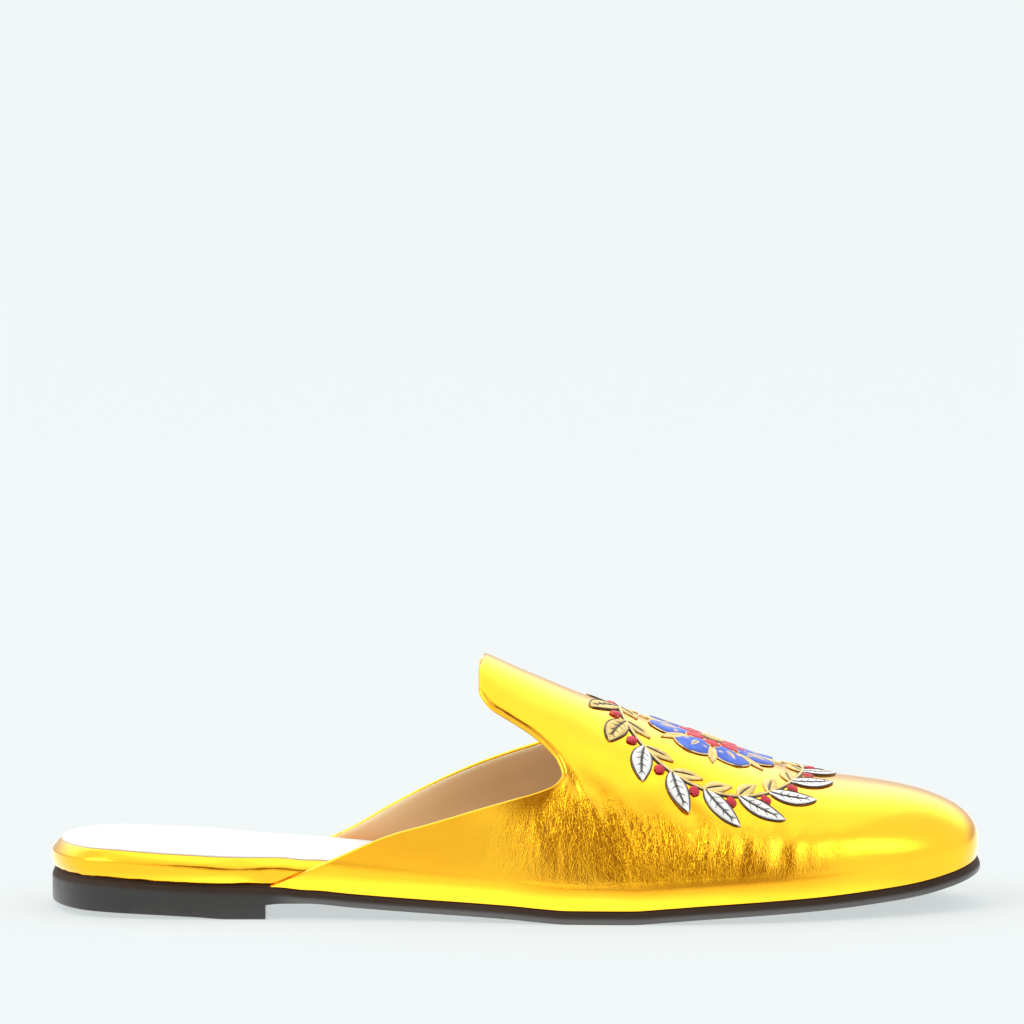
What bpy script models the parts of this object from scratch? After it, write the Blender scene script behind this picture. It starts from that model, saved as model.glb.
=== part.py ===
"""Backless slipper for the right foot: a gold leather upper with a high tongue and a deep notch on
each side, a wrapped footbed, a thin outsole and a low heel block.

Sizes below are in millimetres, measured along the shoe from the back of the heel (x), from the
heel's centre line (lateral side negative, medial side positive) and up from the ground. The solids
are placed in metres, with the origin under the middle of the shoe.
"""

import bmesh
import bpy
import numpy as np

MM = 0.001

# ---- driving sizes, mm -------------------------------------------------------------------------
LENGTH = 258.0          # over the outsole
GAP = 0.3               # between pieces that meet
BREAST = 60.0           # front face of the heel block
WALL = 1.8              # leather and lining of the upper
TOE_START = 205.0       # where the upper begins to round down to the toe
TOE_PLAN_POWER = 3.0    # how late the top line of the toe box starts to drop
TOE_DROP_POWER = 3.0    # how square it drops
TOE_SHIFT = 4.5         # the toe tip lies this far to the medial side
TOE_SHIFT_START = 150.0
FEATHER_IN = 0.8        # upper's bottom edge, in from the outsole's edge
BULGE = 0.7             # upper's fullest line, out from the outsole's edge
TUCK_HEIGHT = 9.0       # the leather tucks in to the sole over this height
BAND_IN = -0.2          # fullest line of the footbed's wrapped side, in from the outsole's edge
BAND_TUCK = 1.3         # the wrap draws in by this much at its bottom edge
BLEND = (44.0, 60.6)    # the footbed narrows here to pass inside the quarters
DISH = 0.8              # hollow of the footbed's top
TOE_OVER = 0.1          # the toe's fullest line lies this far inside the outsole's tip

# The plan outline: half widths either side of the centre line.
OUTLINE = (
    "x     lateral medial",
    (0.0,    0.0,   0.0),
    (3.0,   14.6,  14.6),
    (10.0,  24.4,  24.2),
    (20.0,  28.6,  28.2),
    (34.0,  30.6,  30.2),
    (60.0,  31.0,  28.8),
    (83.0,  32.0,  25.6),
    (100.0, 33.9,  25.0),
    (118.0, 37.0,  28.4),
    (135.0, 40.2,  33.8),
    (152.0, 41.6,  38.3),
    (172.0, 42.1,  41.0),
    (191.0, 41.3,  40.4),
    (208.0, 38.5,  37.2),
    (225.0, 33.2,  32.0),
    (238.0, 27.3,  26.4),
    (248.0, 20.9,  20.4),
    (255.5, 12.4,  12.2),
    (258.0,  0.0,   0.0),
)

# The outsole: height of its underside (heel seat, arch, flat tread, toe spring) and its thickness,
# which swells a little where it runs into the heel block.
UNDERSIDE = (
    "x     height thick",
    (0.0,   6.0,  4.6),
    (15.0,  5.8,  4.6),
    (31.0,  5.0,  4.6),
    (47.0,  4.35, 4.6),
    (60.0,  4.1,  4.6),
    (65.0,  4.4,  4.15),
    (71.5,  4.4,  3.5),
    (83.0,  3.5,  3.5),
    (94.0,  2.75, 3.5),
    (105.0, 2.15, 3.5),
    (116.0, 1.65, 3.5),
    (127.0, 1.1,  3.5),
    (136.0, 0.4,  3.5),
    (143.0, 0.0,  3.5),
    (160.0, 0.0,  3.5),
    (170.0, 0.6,  3.5),
    (182.0, 1.4,  3.5),
    (197.0, 2.15, 3.5),
    (213.5, 2.95, 3.5),
    (229.0, 4.1,  3.5),
    (240.0, 5.2,  3.5),
    (250.0, 7.1,  3.5),
    (258.0, 9.4,  3.5),
)

# The heel block's tread: it stands flat ahead of HEEL_FLAT and lifts a little behind it.
HEEL_FLAT = 50.0
HEEL_TREAD = (
    "x    height",
    (0.0,  1.85),
    (16.0, 1.5),
    (30.0, 1.05),
    (40.0, 0.6),
    (50.0, 0.0),
    (60.0, 0.0),
)

# Thickness of the footbed.
FOOTBED = (
    "x      thick",
    (0.0,   8.1),
    (20.0,  8.2),
    (38.0,  8.15),
    (60.0,  7.6),
    (85.0,  8.0),
    (110.0, 6.5),
    (135.0, 5.2),
    (160.0, 5.0),
    (258.0, 4.6),
)

# Sections of the upper: height of its ridge above the ground before the toe rounds down, how far
# the ridge leans to the medial side, and how full the section is across and upwards.
SECTIONS = (
    "x      ridge  lean  across upwards",
    (60.0,  97.0,  2.0,  2.10,  1.70),
    (80.0,  87.6,  2.6,  2.10,  1.70),
    (100.0, 78.8,  3.2,  2.10,  1.70),
    (120.0, 70.0,  3.6,  2.10,  1.70),
    (140.0, 61.2,  3.6,  2.10,  1.72),
    (160.0, 53.4,  3.2,  2.12,  1.80),
    (180.0, 46.2,  2.6,  2.16,  1.95),
    (195.0, 40.8,  1.8,  2.20,  2.10),
    (205.0, 38.0,  1.2,  2.22,  2.20),
    (216.0, 36.0,  0.7,  2.24,  2.35),
    (230.0, 34.9,  0.3,  2.26,  2.55),
    (258.0, 34.6,  0.0,  2.30,  2.80),
)

# The opening's edge, from the quarter's end at the sole up to the notch, then up and back along
# the tongue's side to its corner: height above the upper's bottom edge on each side.
TOPLINE = (
    "x       lateral medial",
    (61.2,    0.0,    0.0),
    (68.0,    3.5,    3.2),
    (75.7,    7.7,    6.9),
    (82.7,   11.6,   11.0),
    (93.8,   17.1,   18.5),
    (105.0,  21.0,   25.1),
    (116.0,  24.9,   30.5),
    (127.0,  28.7,   35.0),
    (135.0,  31.6,   38.2),
    (139.6,  33.9,   40.2),
    (141.4,  36.6,   42.4),
    (140.2,  39.8,   45.2),
    (137.0,  43.3,   48.0),
    (132.6,  46.5,   50.2),
    (127.2,  49.4,   52.2),
    (121.8,  52.2,   54.2),
)
# The tongue's free edge, across its top: girth angle from the ridge.
TONGUE_EDGE = (
    "angle  x",
    (28.5, 118.7),
    (20.0, 118.7),
    (10.0, 119.7),
    (0.0,  120.4),
)

# Mesh density of the upper.
GIRTH_STEPS = 42
REAR_STEPS = 19
TOE_STEPS = 11


# ---- small tools -------------------------------------------------------------------------------
def columns(rows):
    names = rows[0].split()
    return {name: np.array([row[k] for row in rows[1:]], float) for k, name in enumerate(names)}


def spline(knots, values):
    """Natural cubic through the rows."""
    n, h = len(knots), np.diff(knots)
    system, right = np.eye(n), np.zeros(n)
    for i in range(1, n - 1):
        system[i, i - 1 : i + 2] = h[i - 1], 2 * (h[i - 1] + h[i]), h[i]
        right[i] = 6 * ((values[i + 1] - values[i]) / h[i] - (values[i] - values[i - 1]) / h[i - 1])
    bend = np.linalg.solve(system, right)

    def at(x):
        x = np.asarray(x, float)
        i = np.clip(np.searchsorted(knots, x) - 1, 0, n - 2)
        g, d, e = h[i], knots[i + 1] - x, x - knots[i]
        return (
            (bend[i] * d**3 + bend[i + 1] * e**3) / (6 * g)
            + (values[i] / g - bend[i] * g / 6) * d
            + (values[i + 1] / g - bend[i + 1] * g / 6) * e
        )

    return at


def monotone(knots, values):
    """Cubic through the rows that never overshoots one."""
    h = np.diff(knots)
    slope = np.diff(values) / h
    m = np.zeros(len(knots))
    m[0], m[-1] = slope[0], slope[-1]
    for i in range(1, len(knots) - 1):
        if slope[i - 1] * slope[i] > 0:
            a, b = 2 * h[i] + h[i - 1], h[i] + 2 * h[i - 1]
            m[i] = (a + b) / (a / slope[i - 1] + b / slope[i])

    def at(x):
        x = np.clip(np.asarray(x, float), knots[0], knots[-1])
        i = np.clip(np.searchsorted(knots, x) - 1, 0, len(knots) - 2)
        t = (x - knots[i]) / h[i]
        return (
            (1 + 2 * t) * (1 - t) ** 2 * values[i]
            + t * (1 - t) ** 2 * h[i] * m[i]
            + t**2 * (3 - 2 * t) * values[i + 1]
            + t**2 * (t - 1) * h[i] * m[i + 1]
        )

    return at


def ease(t):
    t = np.clip(t, 0.0, 1.0)
    return t * t * (3 - 2 * t)


# ---- the last: outline, bottom and sections ----------------------------------------------------
_plan = columns(OUTLINE)
_turn = np.arccos(1 - 2 * _plan["x"] / LENGTH)  # 0 at the heel's back, pi at the toe tip
_half = {-1: spline(_turn, _plan["lateral"]), 1: spline(_turn, _plan["medial"])}
_sole = columns(UNDERSIDE)
_under = monotone(_sole["x"], _sole["height"])
_thick = monotone(_sole["x"], _sole["thick"])
_tread = monotone(*columns(HEEL_TREAD).values())
_footbed = monotone(*columns(FOOTBED).values())
_sec = columns(SECTIONS)
_ridge = spline(_sec["x"], _sec["ridge"])
_lean = spline(_sec["x"], _sec["lean"])
_across = spline(_sec["x"], _sec["across"])
_upwards = spline(_sec["x"], _sec["upwards"])


def turn_of(x):
    return np.arccos(np.clip(1 - 2 * np.asarray(x, float) / LENGTH, -1, 1))


def centre(x):
    return TOE_SHIFT * ease((x - TOE_SHIFT_START) / (LENGTH - TOE_SHIFT_START))


def half_width(x, side):
    return np.maximum(_half[side](turn_of(x)), 0.0)


def seat(x):
    """Top of the outsole."""
    return _under(x) + _thick(x)


def feather(x):
    """Bottom edge of the upper and underside of the footbed."""
    return seat(x) + GAP


def toe_share(x):
    return np.clip((x - TOE_START) / (LENGTH - TOE_OVER - TOE_START), 0.0, 1.0)


def ridge_height(x):
    """Ridge above the feather line, rounded down at the toe."""
    drop = np.maximum(1 - toe_share(x) ** TOE_PLAN_POWER, 0.0) ** (1 / TOE_DROP_POWER)
    return (_ridge(x) - feather(x)) * drop


def skin(x, share):
    """Point on the upper's outer face before the tuck: share runs from -1, the lateral feather
    line, over the ridge to 1, the medial one."""
    side = np.where(share < 0, -1, 1)
    out = BULGE * (1 - ease((x - 215.0) / 40.0))
    width = np.where(side < 0, half_width(x, -1), half_width(x, 1))
    width = np.where(width > 0, width + out * np.minimum(1.0, width / 8.0), 0.0)
    rise = np.maximum(1 - np.abs(share) ** _across(x), 0.0) ** (1 / _upwards(x))
    y = centre(x) + width * share + _lean(x) * (1 - share**2)
    return np.stack([x + 0 * share, y, feather(x) + ridge_height(x) * rise], axis=-1)


def girth_angle(x, height):
    """Angle from the ridge, in degrees, at which the upper stands this high above its bottom edge."""
    part = np.clip(height / ridge_height(x), 0, 1) ** _upwards(x)
    return np.degrees(np.arcsin((1 - part) ** (1 / _across(x))))


_top = columns(TOPLINE)
_edge = columns(TONGUE_EDGE)


def topline(side):
    """x of the opening's edge as a function of the girth angle, 0 at the ridge to 90 at the sole."""
    heights = _top["lateral" if side < 0 else "medial"]
    angles = np.concatenate([girth_angle(_top["x"], heights), _edge["angle"]])
    where = np.concatenate([_top["x"], _edge["x"]])
    order = np.argsort(angles)
    return monotone(angles[order], where[order])


_topline = {-1: topline(-1), 1: topline(1)}


def girth_grid(steps):
    """Girth angles from -90 (lateral) to 90 (medial), closer together round the notches."""
    fine = np.linspace(0.0, 90.0, 721)
    density = 1.0 + 1.6 * np.exp(-(((fine - 44.0) / 11.0) ** 2)) + 0.9 * np.exp(-(((fine - 27.0) / 5.0) ** 2))
    run = np.concatenate([[0.0], np.cumsum((density[1:] + density[:-1]) / 2)])
    half = np.interp(np.linspace(0, run[-1], steps // 2 + 1), run, fine)
    return np.concatenate([-half[:0:-1], half])


def vertex_normals(grid):
    """Outward normals of a grid of points, from the faces that meet at each."""
    face = np.cross(grid[1:, 1:] - grid[:-1, :-1], grid[:-1, 1:] - grid[1:, :-1])
    total = np.zeros_like(grid)
    for di in (0, 1):
        for dj in (0, 1):
            total[di : di + face.shape[0], dj : dj + face.shape[1]] += face
    return total / np.linalg.norm(total, axis=-1, keepdims=True)


def upper_grid(girth_steps, rear_steps, toe_steps):
    """Outer face of the upper as a grid: rows run from the opening forward, columns round the foot.
    Round the toe the rows bend with the outline, so that none of them shrinks to a point."""
    angles = girth_grid(girth_steps)
    share = np.sin(np.radians(angles))
    start = np.where(angles < 0, _topline[-1](np.abs(angles)), _topline[1](np.abs(angles)))
    rows = []
    for t in np.linspace(0, 1, rear_steps + 1)[:-1]:
        t = 0.75 * t + 0.25 * t**2
        rows.append(skin(start + (TOE_START - start) * t, share))
    for t in np.sin(np.linspace(0, np.pi / 2, toe_steps + 1)):
        along = t * np.sqrt(1 - share**2 / 2)
        side = share * np.sqrt(1 - t**2 / 2)
        room = np.sqrt(np.maximum(1 - along**2, 0))
        part = np.divide(side, room, out=np.sign(share), where=room > 1e-9)
        if t > 1 - 1e-9:
            part = np.sign(share)
        rows.append(skin(TOE_START + (LENGTH - TOE_OVER - TOE_START) * along, np.clip(part, -1, 1)))
    grid = np.array(rows)
    # The lasted edge tucks in towards the sole.
    normal = vertex_normals(grid)
    level = normal * [1, 1, 0]
    level /= np.maximum(np.linalg.norm(level, axis=-1, keepdims=True), 1e-9)
    x, above = grid[..., 0], grid[..., 2] - feather(grid[..., 0])
    tuck = (BULGE + FEATHER_IN) * (1 - ease((x - 215.0) / 40.0)) + 1.0 * ease((x - 215.0) / 40.0)
    tuck = tuck * np.clip(1 - above / TUCK_HEIGHT, 0, 1) ** 2
    return grid - level * tuck[..., None]


# ---- meshes ------------------------------------------------------------------------------------
_y_low = min(centre(x) - half_width(x, -1) for x in np.linspace(0, LENGTH, 2001))
_y_high = max(centre(x) + half_width(x, 1) for x in np.linspace(0, LENGTH, 2001))
ORIGIN = np.array([(LENGTH + min(BAND_IN, 0.0)) / 2, 0.0, 0.0])  # y is set once the upper is known


def material(name, colour, roughness, metallic):
    made = bpy.data.materials.new(name)
    made.use_nodes = True
    shader = made.node_tree.nodes["Principled BSDF"]
    shader.inputs["Base Color"].default_value = (*colour, 1.0)
    shader.inputs["Roughness"].default_value = roughness
    shader.inputs["Metallic"].default_value = metallic
    made.diffuse_color = (*colour, 1.0)
    return made


def add_object(name, points, faces, finish):
    mesh = bpy.data.meshes.new(name)
    work = bmesh.new()
    verts = [work.verts.new(tuple((np.asarray(p) - ORIGIN) * MM)) for p in points]
    for face in faces:
        ring = [verts[k] for k in face]
        if len(set(ring)) == len(ring):
            work.faces.new(ring)
    bmesh.ops.remove_doubles(work, verts=work.verts, dist=1e-6)
    bmesh.ops.triangulate(work, faces=[f for f in work.faces if len(f.verts) > 4])
    bmesh.ops.recalc_face_normals(work, faces=work.faces)
    work.to_mesh(mesh)
    work.free()
    mesh.shade_smooth()
    mesh.set_sharp_from_angle(angle=np.radians(40))
    made = bpy.data.objects.new(name, mesh)
    bpy.context.scene.collection.objects.link(made)
    mesh.materials.append(finish)
    return made


def shell(outer, inner):
    """Points and faces of a wall between two grids of the same shape, closed along its rim."""
    rows, cols = outer.shape[:2]
    points = np.concatenate([outer.reshape(-1, 3), inner.reshape(-1, 3)])
    index = np.arange(rows * cols).reshape(rows, cols)
    other = index + rows * cols
    faces = []
    for i in range(rows - 1):
        for j in range(cols - 1):
            a, b, c, d = index[i, j], index[i, j + 1], index[i + 1, j + 1], index[i + 1, j]
            faces.append((a, d, c, b))
            a, b, c, d = other[i, j], other[i, j + 1], other[i + 1, j + 1], other[i + 1, j]
            faces.append((a, b, c, d))
    rim = np.concatenate([index[0, :-1], index[:-1, -1], index[-1, :0:-1], index[:0:-1, 0]])
    for k, start in enumerate(rim):
        end = rim[(k + 1) % len(rim)]
        faces.append((start, end, end + rows * cols, start + rows * cols))
    return points, faces


def rail(turn, side, inset):
    """Point of the outline moved in by inset, square to the outline."""
    step = 1e-4
    def at(t):
        x = LENGTH * (1 - np.cos(t)) / 2
        width = _half[side](t) if 0 < t < np.pi else 0.0
        return np.array([x, centre(x) + side * width])
    low, high = at(max(turn - step, 0.0)), at(min(turn + step, np.pi))
    along = high - low
    if turn < 1e-6 or turn > np.pi - 1e-6:
        inward = np.array([1.0 if turn < 1 else -1.0, 0.0])
    else:
        inward = np.array([along[1], -along[0]]) * side
        inward /= np.linalg.norm(inward)
    return at(turn) + inward * inset


def slab(turns, rings, across, dish=0.0):
    """Points and faces of a piece that fills the outline. Each ring is (inset, height) with both
    as functions of x, from the middle of the underside round the edge to the middle of the top.
    The first and last rings are joined across by rows of points."""
    loops = []
    for turn in turns:
        x0 = LENGTH * (1 - np.cos(turn)) / 2
        lateral, medial = [], []
        for inset, height in rings:
            for side, line in ((-1, lateral), (1, medial)):
                x, y = rail(turn, side, inset(x0))
                line.append((x, y, height(x)))
        lateral, medial = np.array(lateral), np.array(medial)
        steps = np.linspace(0, 1, across + 1)[1:-1, None]
        bottom = medial[0] + (lateral[0] - medial[0]) * steps
        top = lateral[-1] + (medial[-1] - lateral[-1]) * steps
        bottom[:, 2] = [rings[0][1](p[0]) for p in bottom]
        for k, p in enumerate(top):
            width = medial[-1, 1] - lateral[-1, 1]
            sunk = dish * min(1.0, width / 45.0) ** 2 * (1 - (2 * steps[k, 0] - 1) ** 2)
            p[2] = rings[-1][1](p[0]) - sunk
        loops.append(np.concatenate([lateral, top, medial[::-1], bottom]))
    loops = np.array(loops)
    count, ring = loops.shape[:2]
    points = loops.reshape(-1, 3)
    faces = []
    for i in range(count - 1):
        for j in range(ring):
            k = (j + 1) % ring
            faces.append((i * ring + j, i * ring + k, (i + 1) * ring + k, (i + 1) * ring + j))
    side = len(rings)

    def cap(i):
        """Close an end that is cut straight across, as a ladder from underside to top."""
        lateral = [i * ring + k for k in range(side)]
        top = [i * ring + side + k for k in range(across - 1)]
        medial = [i * ring + side + across - 1 + k for k in range(side)][::-1]
        bottom = [i * ring + 2 * side + across - 1 + k for k in range(across - 1)][::-1]
        upper_row = [lateral[-1], *top, medial[-1]]
        lower_row = [lateral[0], *bottom, medial[0]]
        for k in range(across):
            faces.append((lower_row[k], lower_row[k + 1], upper_row[k + 1], upper_row[k]))
        faces.append(tuple(lateral))
        faces.append(tuple(medial))

    if turns[0] > 1e-6:
        cap(0)
    if turns[-1] < np.pi - 1e-6:
        cap(count - 1)
    return points, faces


def stations(edges, step):
    """Turns that hit each x in edges, with others between them."""
    marks = turn_of(edges)
    found = [marks[0]]
    for a, b in zip(marks[:-1], marks[1:]):
        pieces = max(1, int(round((b - a) / step)))
        found += list(a + (b - a) * np.arange(1, pieces + 1) / pieces)
    return found


def flat(value):
    return lambda x: value


def lift(height, by):
    return lambda x: height(x) + by


# ---- build -------------------------------------------------------------------------------------
for old in list(bpy.data.objects):
    bpy.data.objects.remove(old, do_unlink=True)

gold = material("gold_leather", (0.83, 0.55, 0.07), 0.30, 0.85)
wrap = material("gold_wrap", (0.85, 0.60, 0.08), 0.30, 0.85)
black = material("sole_rubber", (0.045, 0.045, 0.042), 0.50, 0.0)
stack = material("heel_rubber", (0.042, 0.042, 0.042), 0.55, 0.0)

# Upper: outer face, then the same face moved in by the wall.
outer = upper_grid(GIRTH_STEPS, REAR_STEPS, TOE_STEPS)
ORIGIN[1] = (min(outer[..., 1].min(), _y_low) + max(outer[..., 1].max(), _y_high)) / 2
normal = vertex_normals(outer)
inner = outer - normal * WALL
level = normal * [1, 1, 0]
level /= np.linalg.norm(level, axis=-1, keepdims=True)
inner[:, [0, -1]] = outer[:, [0, -1]] - level[:, [0, -1]] * WALL
inner[-1] = outer[-1] - level[-1] * WALL
points, faces = shell(outer, inner)
add_object("upper", points, faces, gold)

# Outsole: one thin piece from heel to toe, its edges just broken.
EDGE_BREAK = 0.5
turns = stations([0.0, 9.0, 30.0, BREAST, 100.0, 143.0, 160.0, 200.0, 240.0, LENGTH], 0.085)
rings = [
    (flat(3.0), _under),
    (flat(EDGE_BREAK), _under),
    (flat(0.0), lift(_under, EDGE_BREAK)),
    (flat(0.0), lift(seat, -EDGE_BREAK)),
    (flat(EDGE_BREAK), seat),
    (flat(3.0), seat),
]
add_object("outsole", *slab(turns, rings, 6), black)

# Heel block: a low block under the back of the outsole, with a straight breast.
top_of_heel = lift(_under, -GAP)
turns = stations([0.0, 6.0, 20.0, 40.0, HEEL_FLAT, BREAST], 0.075)
rings = [
    (flat(3.2), _tread),
    (flat(0.9), _tread),
    (flat(0.25), lift(_tread, 0.6)),
    (flat(0.25), lift(top_of_heel, -0.2)),
    (flat(0.6), top_of_heel),
    (flat(3.2), top_of_heel),
]
add_object("heel", *slab(turns, rings, 6), stack)

# Footbed: as wide as the sole behind the quarters, where its wrapped side is full and rounded, and
# inside the upper's wall ahead of them.
inside = FEATHER_IN + WALL + GAP


def bed_inset(more, tuck=0.0):
    def at(x):
        front = ease((x - BLEND[0]) / (BLEND[1] - BLEND[0]))
        toe = ease((x - 215.0) / 40.0)
        return (BAND_IN + tuck) * (1 - front) + (inside + 0.25 * toe) * front + more
    return at


def bed_height(share):
    return lambda x: feather(x) + share * _footbed(x)


bed_top = bed_height(1.0)


turns = stations([0.0, 9.0, 30.0, BLEND[0], BLEND[1], 100.0, 143.0, 200.0, 240.0, LENGTH], 0.085)
rings = [
    (bed_inset(4.0, BAND_TUCK), feather),
    (bed_inset(0.25, BAND_TUCK), feather),
    (bed_inset(0.0, BAND_TUCK - 0.3), bed_height(0.09)),
    (bed_inset(0.0, 0.25), bed_height(0.28)),
    (bed_inset(0.0), bed_height(0.52)),
    (bed_inset(0.1, 0.1), bed_height(0.78)),
    (bed_inset(0.7, 0.3), bed_height(0.93)),
    (bed_inset(2.2, 0.2), bed_top),
    (bed_inset(4.5), lift(bed_top, -0.1)),
]
add_object("insole", *slab(turns, rings, 6, dish=DISH), wrap)
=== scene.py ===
"""Looks of the backless slipper: gold foil leather with a rolled edge, tan lining, wrapped footbed
with a pale sock, dark sole, and a sewn wreath on the vamp.

Sizes are in millimetres in the shoe's own frame: x from the back of the heel to the toe, y from the
heel's centre line (lateral side negative), z up from the ground. The tables are those of the solids.
"""

import bpy
import numpy as np
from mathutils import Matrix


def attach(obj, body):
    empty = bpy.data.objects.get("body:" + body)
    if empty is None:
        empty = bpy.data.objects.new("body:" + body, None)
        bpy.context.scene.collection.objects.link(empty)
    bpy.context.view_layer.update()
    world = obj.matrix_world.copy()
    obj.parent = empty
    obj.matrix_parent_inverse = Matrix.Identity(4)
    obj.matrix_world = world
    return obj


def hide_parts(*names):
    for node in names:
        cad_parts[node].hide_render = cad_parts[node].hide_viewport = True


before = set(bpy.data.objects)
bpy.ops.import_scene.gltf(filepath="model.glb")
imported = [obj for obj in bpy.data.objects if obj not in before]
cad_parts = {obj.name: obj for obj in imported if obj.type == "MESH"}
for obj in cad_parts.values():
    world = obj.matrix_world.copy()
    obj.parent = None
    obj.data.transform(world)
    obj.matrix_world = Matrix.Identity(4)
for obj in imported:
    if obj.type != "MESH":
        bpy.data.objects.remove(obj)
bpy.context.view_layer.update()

MM = 0.001

# ---- the shoe's sizes --------------------------------------------------------------------------
LENGTH = 258.0
GAP = 0.3
BREAST = 60.0
WALL = 1.8
TOE_START = 205.0
TOE_PLAN_POWER = 3.0
TOE_DROP_POWER = 3.0
TOE_SHIFT = 4.5
TOE_SHIFT_START = 150.0
FEATHER_IN = 0.8
BULGE = 0.7
TUCK_HEIGHT = 9.0
BAND_IN = -0.2
BAND_TUCK = 1.3
BLEND = (44.0, 60.6)
DISH = 0.8
TOE_OVER = 0.1

OUTLINE = (
    "x     lateral medial",
    (0.0,    0.0,   0.0),
    (3.0,   14.6,  14.6),
    (10.0,  24.4,  24.2),
    (20.0,  28.6,  28.2),
    (34.0,  30.6,  30.2),
    (60.0,  31.0,  28.8),
    (83.0,  32.0,  25.6),
    (100.0, 33.9,  25.0),
    (118.0, 37.0,  28.4),
    (135.0, 40.2,  33.8),
    (152.0, 41.6,  38.3),
    (172.0, 42.1,  41.0),
    (191.0, 41.3,  40.4),
    (208.0, 38.5,  37.2),
    (225.0, 33.2,  32.0),
    (238.0, 27.3,  26.4),
    (248.0, 20.9,  20.4),
    (255.5, 12.4,  12.2),
    (258.0,  0.0,   0.0),
)
UNDERSIDE = (
    "x     height thick",
    (0.0,   6.0,  4.6),
    (15.0,  5.8,  4.6),
    (31.0,  5.0,  4.6),
    (47.0,  4.35, 4.6),
    (60.0,  4.1,  4.6),
    (65.0,  4.4,  4.15),
    (71.5,  4.4,  3.5),
    (83.0,  3.5,  3.5),
    (94.0,  2.75, 3.5),
    (105.0, 2.15, 3.5),
    (116.0, 1.65, 3.5),
    (127.0, 1.1,  3.5),
    (136.0, 0.4,  3.5),
    (143.0, 0.0,  3.5),
    (160.0, 0.0,  3.5),
    (170.0, 0.6,  3.5),
    (182.0, 1.4,  3.5),
    (197.0, 2.15, 3.5),
    (213.5, 2.95, 3.5),
    (229.0, 4.1,  3.5),
    (240.0, 5.2,  3.5),
    (250.0, 7.1,  3.5),
    (258.0, 9.4,  3.5),
)
HEEL_TREAD = (
    "x    height",
    (0.0,  1.85),
    (16.0, 1.5),
    (30.0, 1.05),
    (40.0, 0.6),
    (50.0, 0.0),
    (60.0, 0.0),
)
FOOTBED = (
    "x      thick",
    (0.0,   8.1),
    (20.0,  8.2),
    (38.0,  8.15),
    (60.0,  7.6),
    (85.0,  8.0),
    (110.0, 6.5),
    (135.0, 5.2),
    (160.0, 5.0),
    (258.0, 4.6),
)
SECTIONS = (
    "x      ridge  lean  across upwards",
    (60.0,  97.0,  2.0,  2.10,  1.70),
    (80.0,  87.6,  2.6,  2.10,  1.70),
    (100.0, 78.8,  3.2,  2.10,  1.70),
    (120.0, 70.0,  3.6,  2.10,  1.70),
    (140.0, 61.2,  3.6,  2.10,  1.72),
    (160.0, 53.4,  3.2,  2.12,  1.80),
    (180.0, 46.2,  2.6,  2.16,  1.95),
    (195.0, 40.8,  1.8,  2.20,  2.10),
    (205.0, 38.0,  1.2,  2.22,  2.20),
    (216.0, 36.0,  0.7,  2.24,  2.35),
    (230.0, 34.9,  0.3,  2.26,  2.55),
    (258.0, 34.6,  0.0,  2.30,  2.80),
)
TOPLINE = (
    "x       lateral medial",
    (61.2,    0.0,    0.0),
    (68.0,    3.5,    3.2),
    (75.7,    7.7,    6.9),
    (82.7,   11.6,   11.0),
    (93.8,   17.1,   18.5),
    (105.0,  21.0,   25.1),
    (116.0,  24.9,   30.5),
    (127.0,  28.7,   35.0),
    (135.0,  31.6,   38.2),
    (139.6,  33.9,   40.2),
    (141.4,  36.6,   42.4),
    (140.2,  39.8,   45.2),
    (137.0,  43.3,   48.0),
    (132.6,  46.5,   50.2),
    (127.2,  49.4,   52.2),
    (121.8,  52.2,   54.2),
)
TONGUE_EDGE = (
    "angle  x",
    (28.5, 118.7),
    (20.0, 118.7),
    (10.0, 119.7),
    (0.0,  120.4),
)

# ---- surface detail ----------------------------------------------------------------------------
EDGE_THICK = 1.7        # leather folded over the opening's edge
LEATHER = 0.95          # leather alone, away from the fold
EDGE_ROUND = 0.6        # how far the edge's rounding reaches over the outer face
FOLD = 0.42             # how far the fold reaches down the inside
PRESS_AT = 0.95         # pressed line along the tongue, in from the edge
PRESS_DEEP = 0.26

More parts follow.
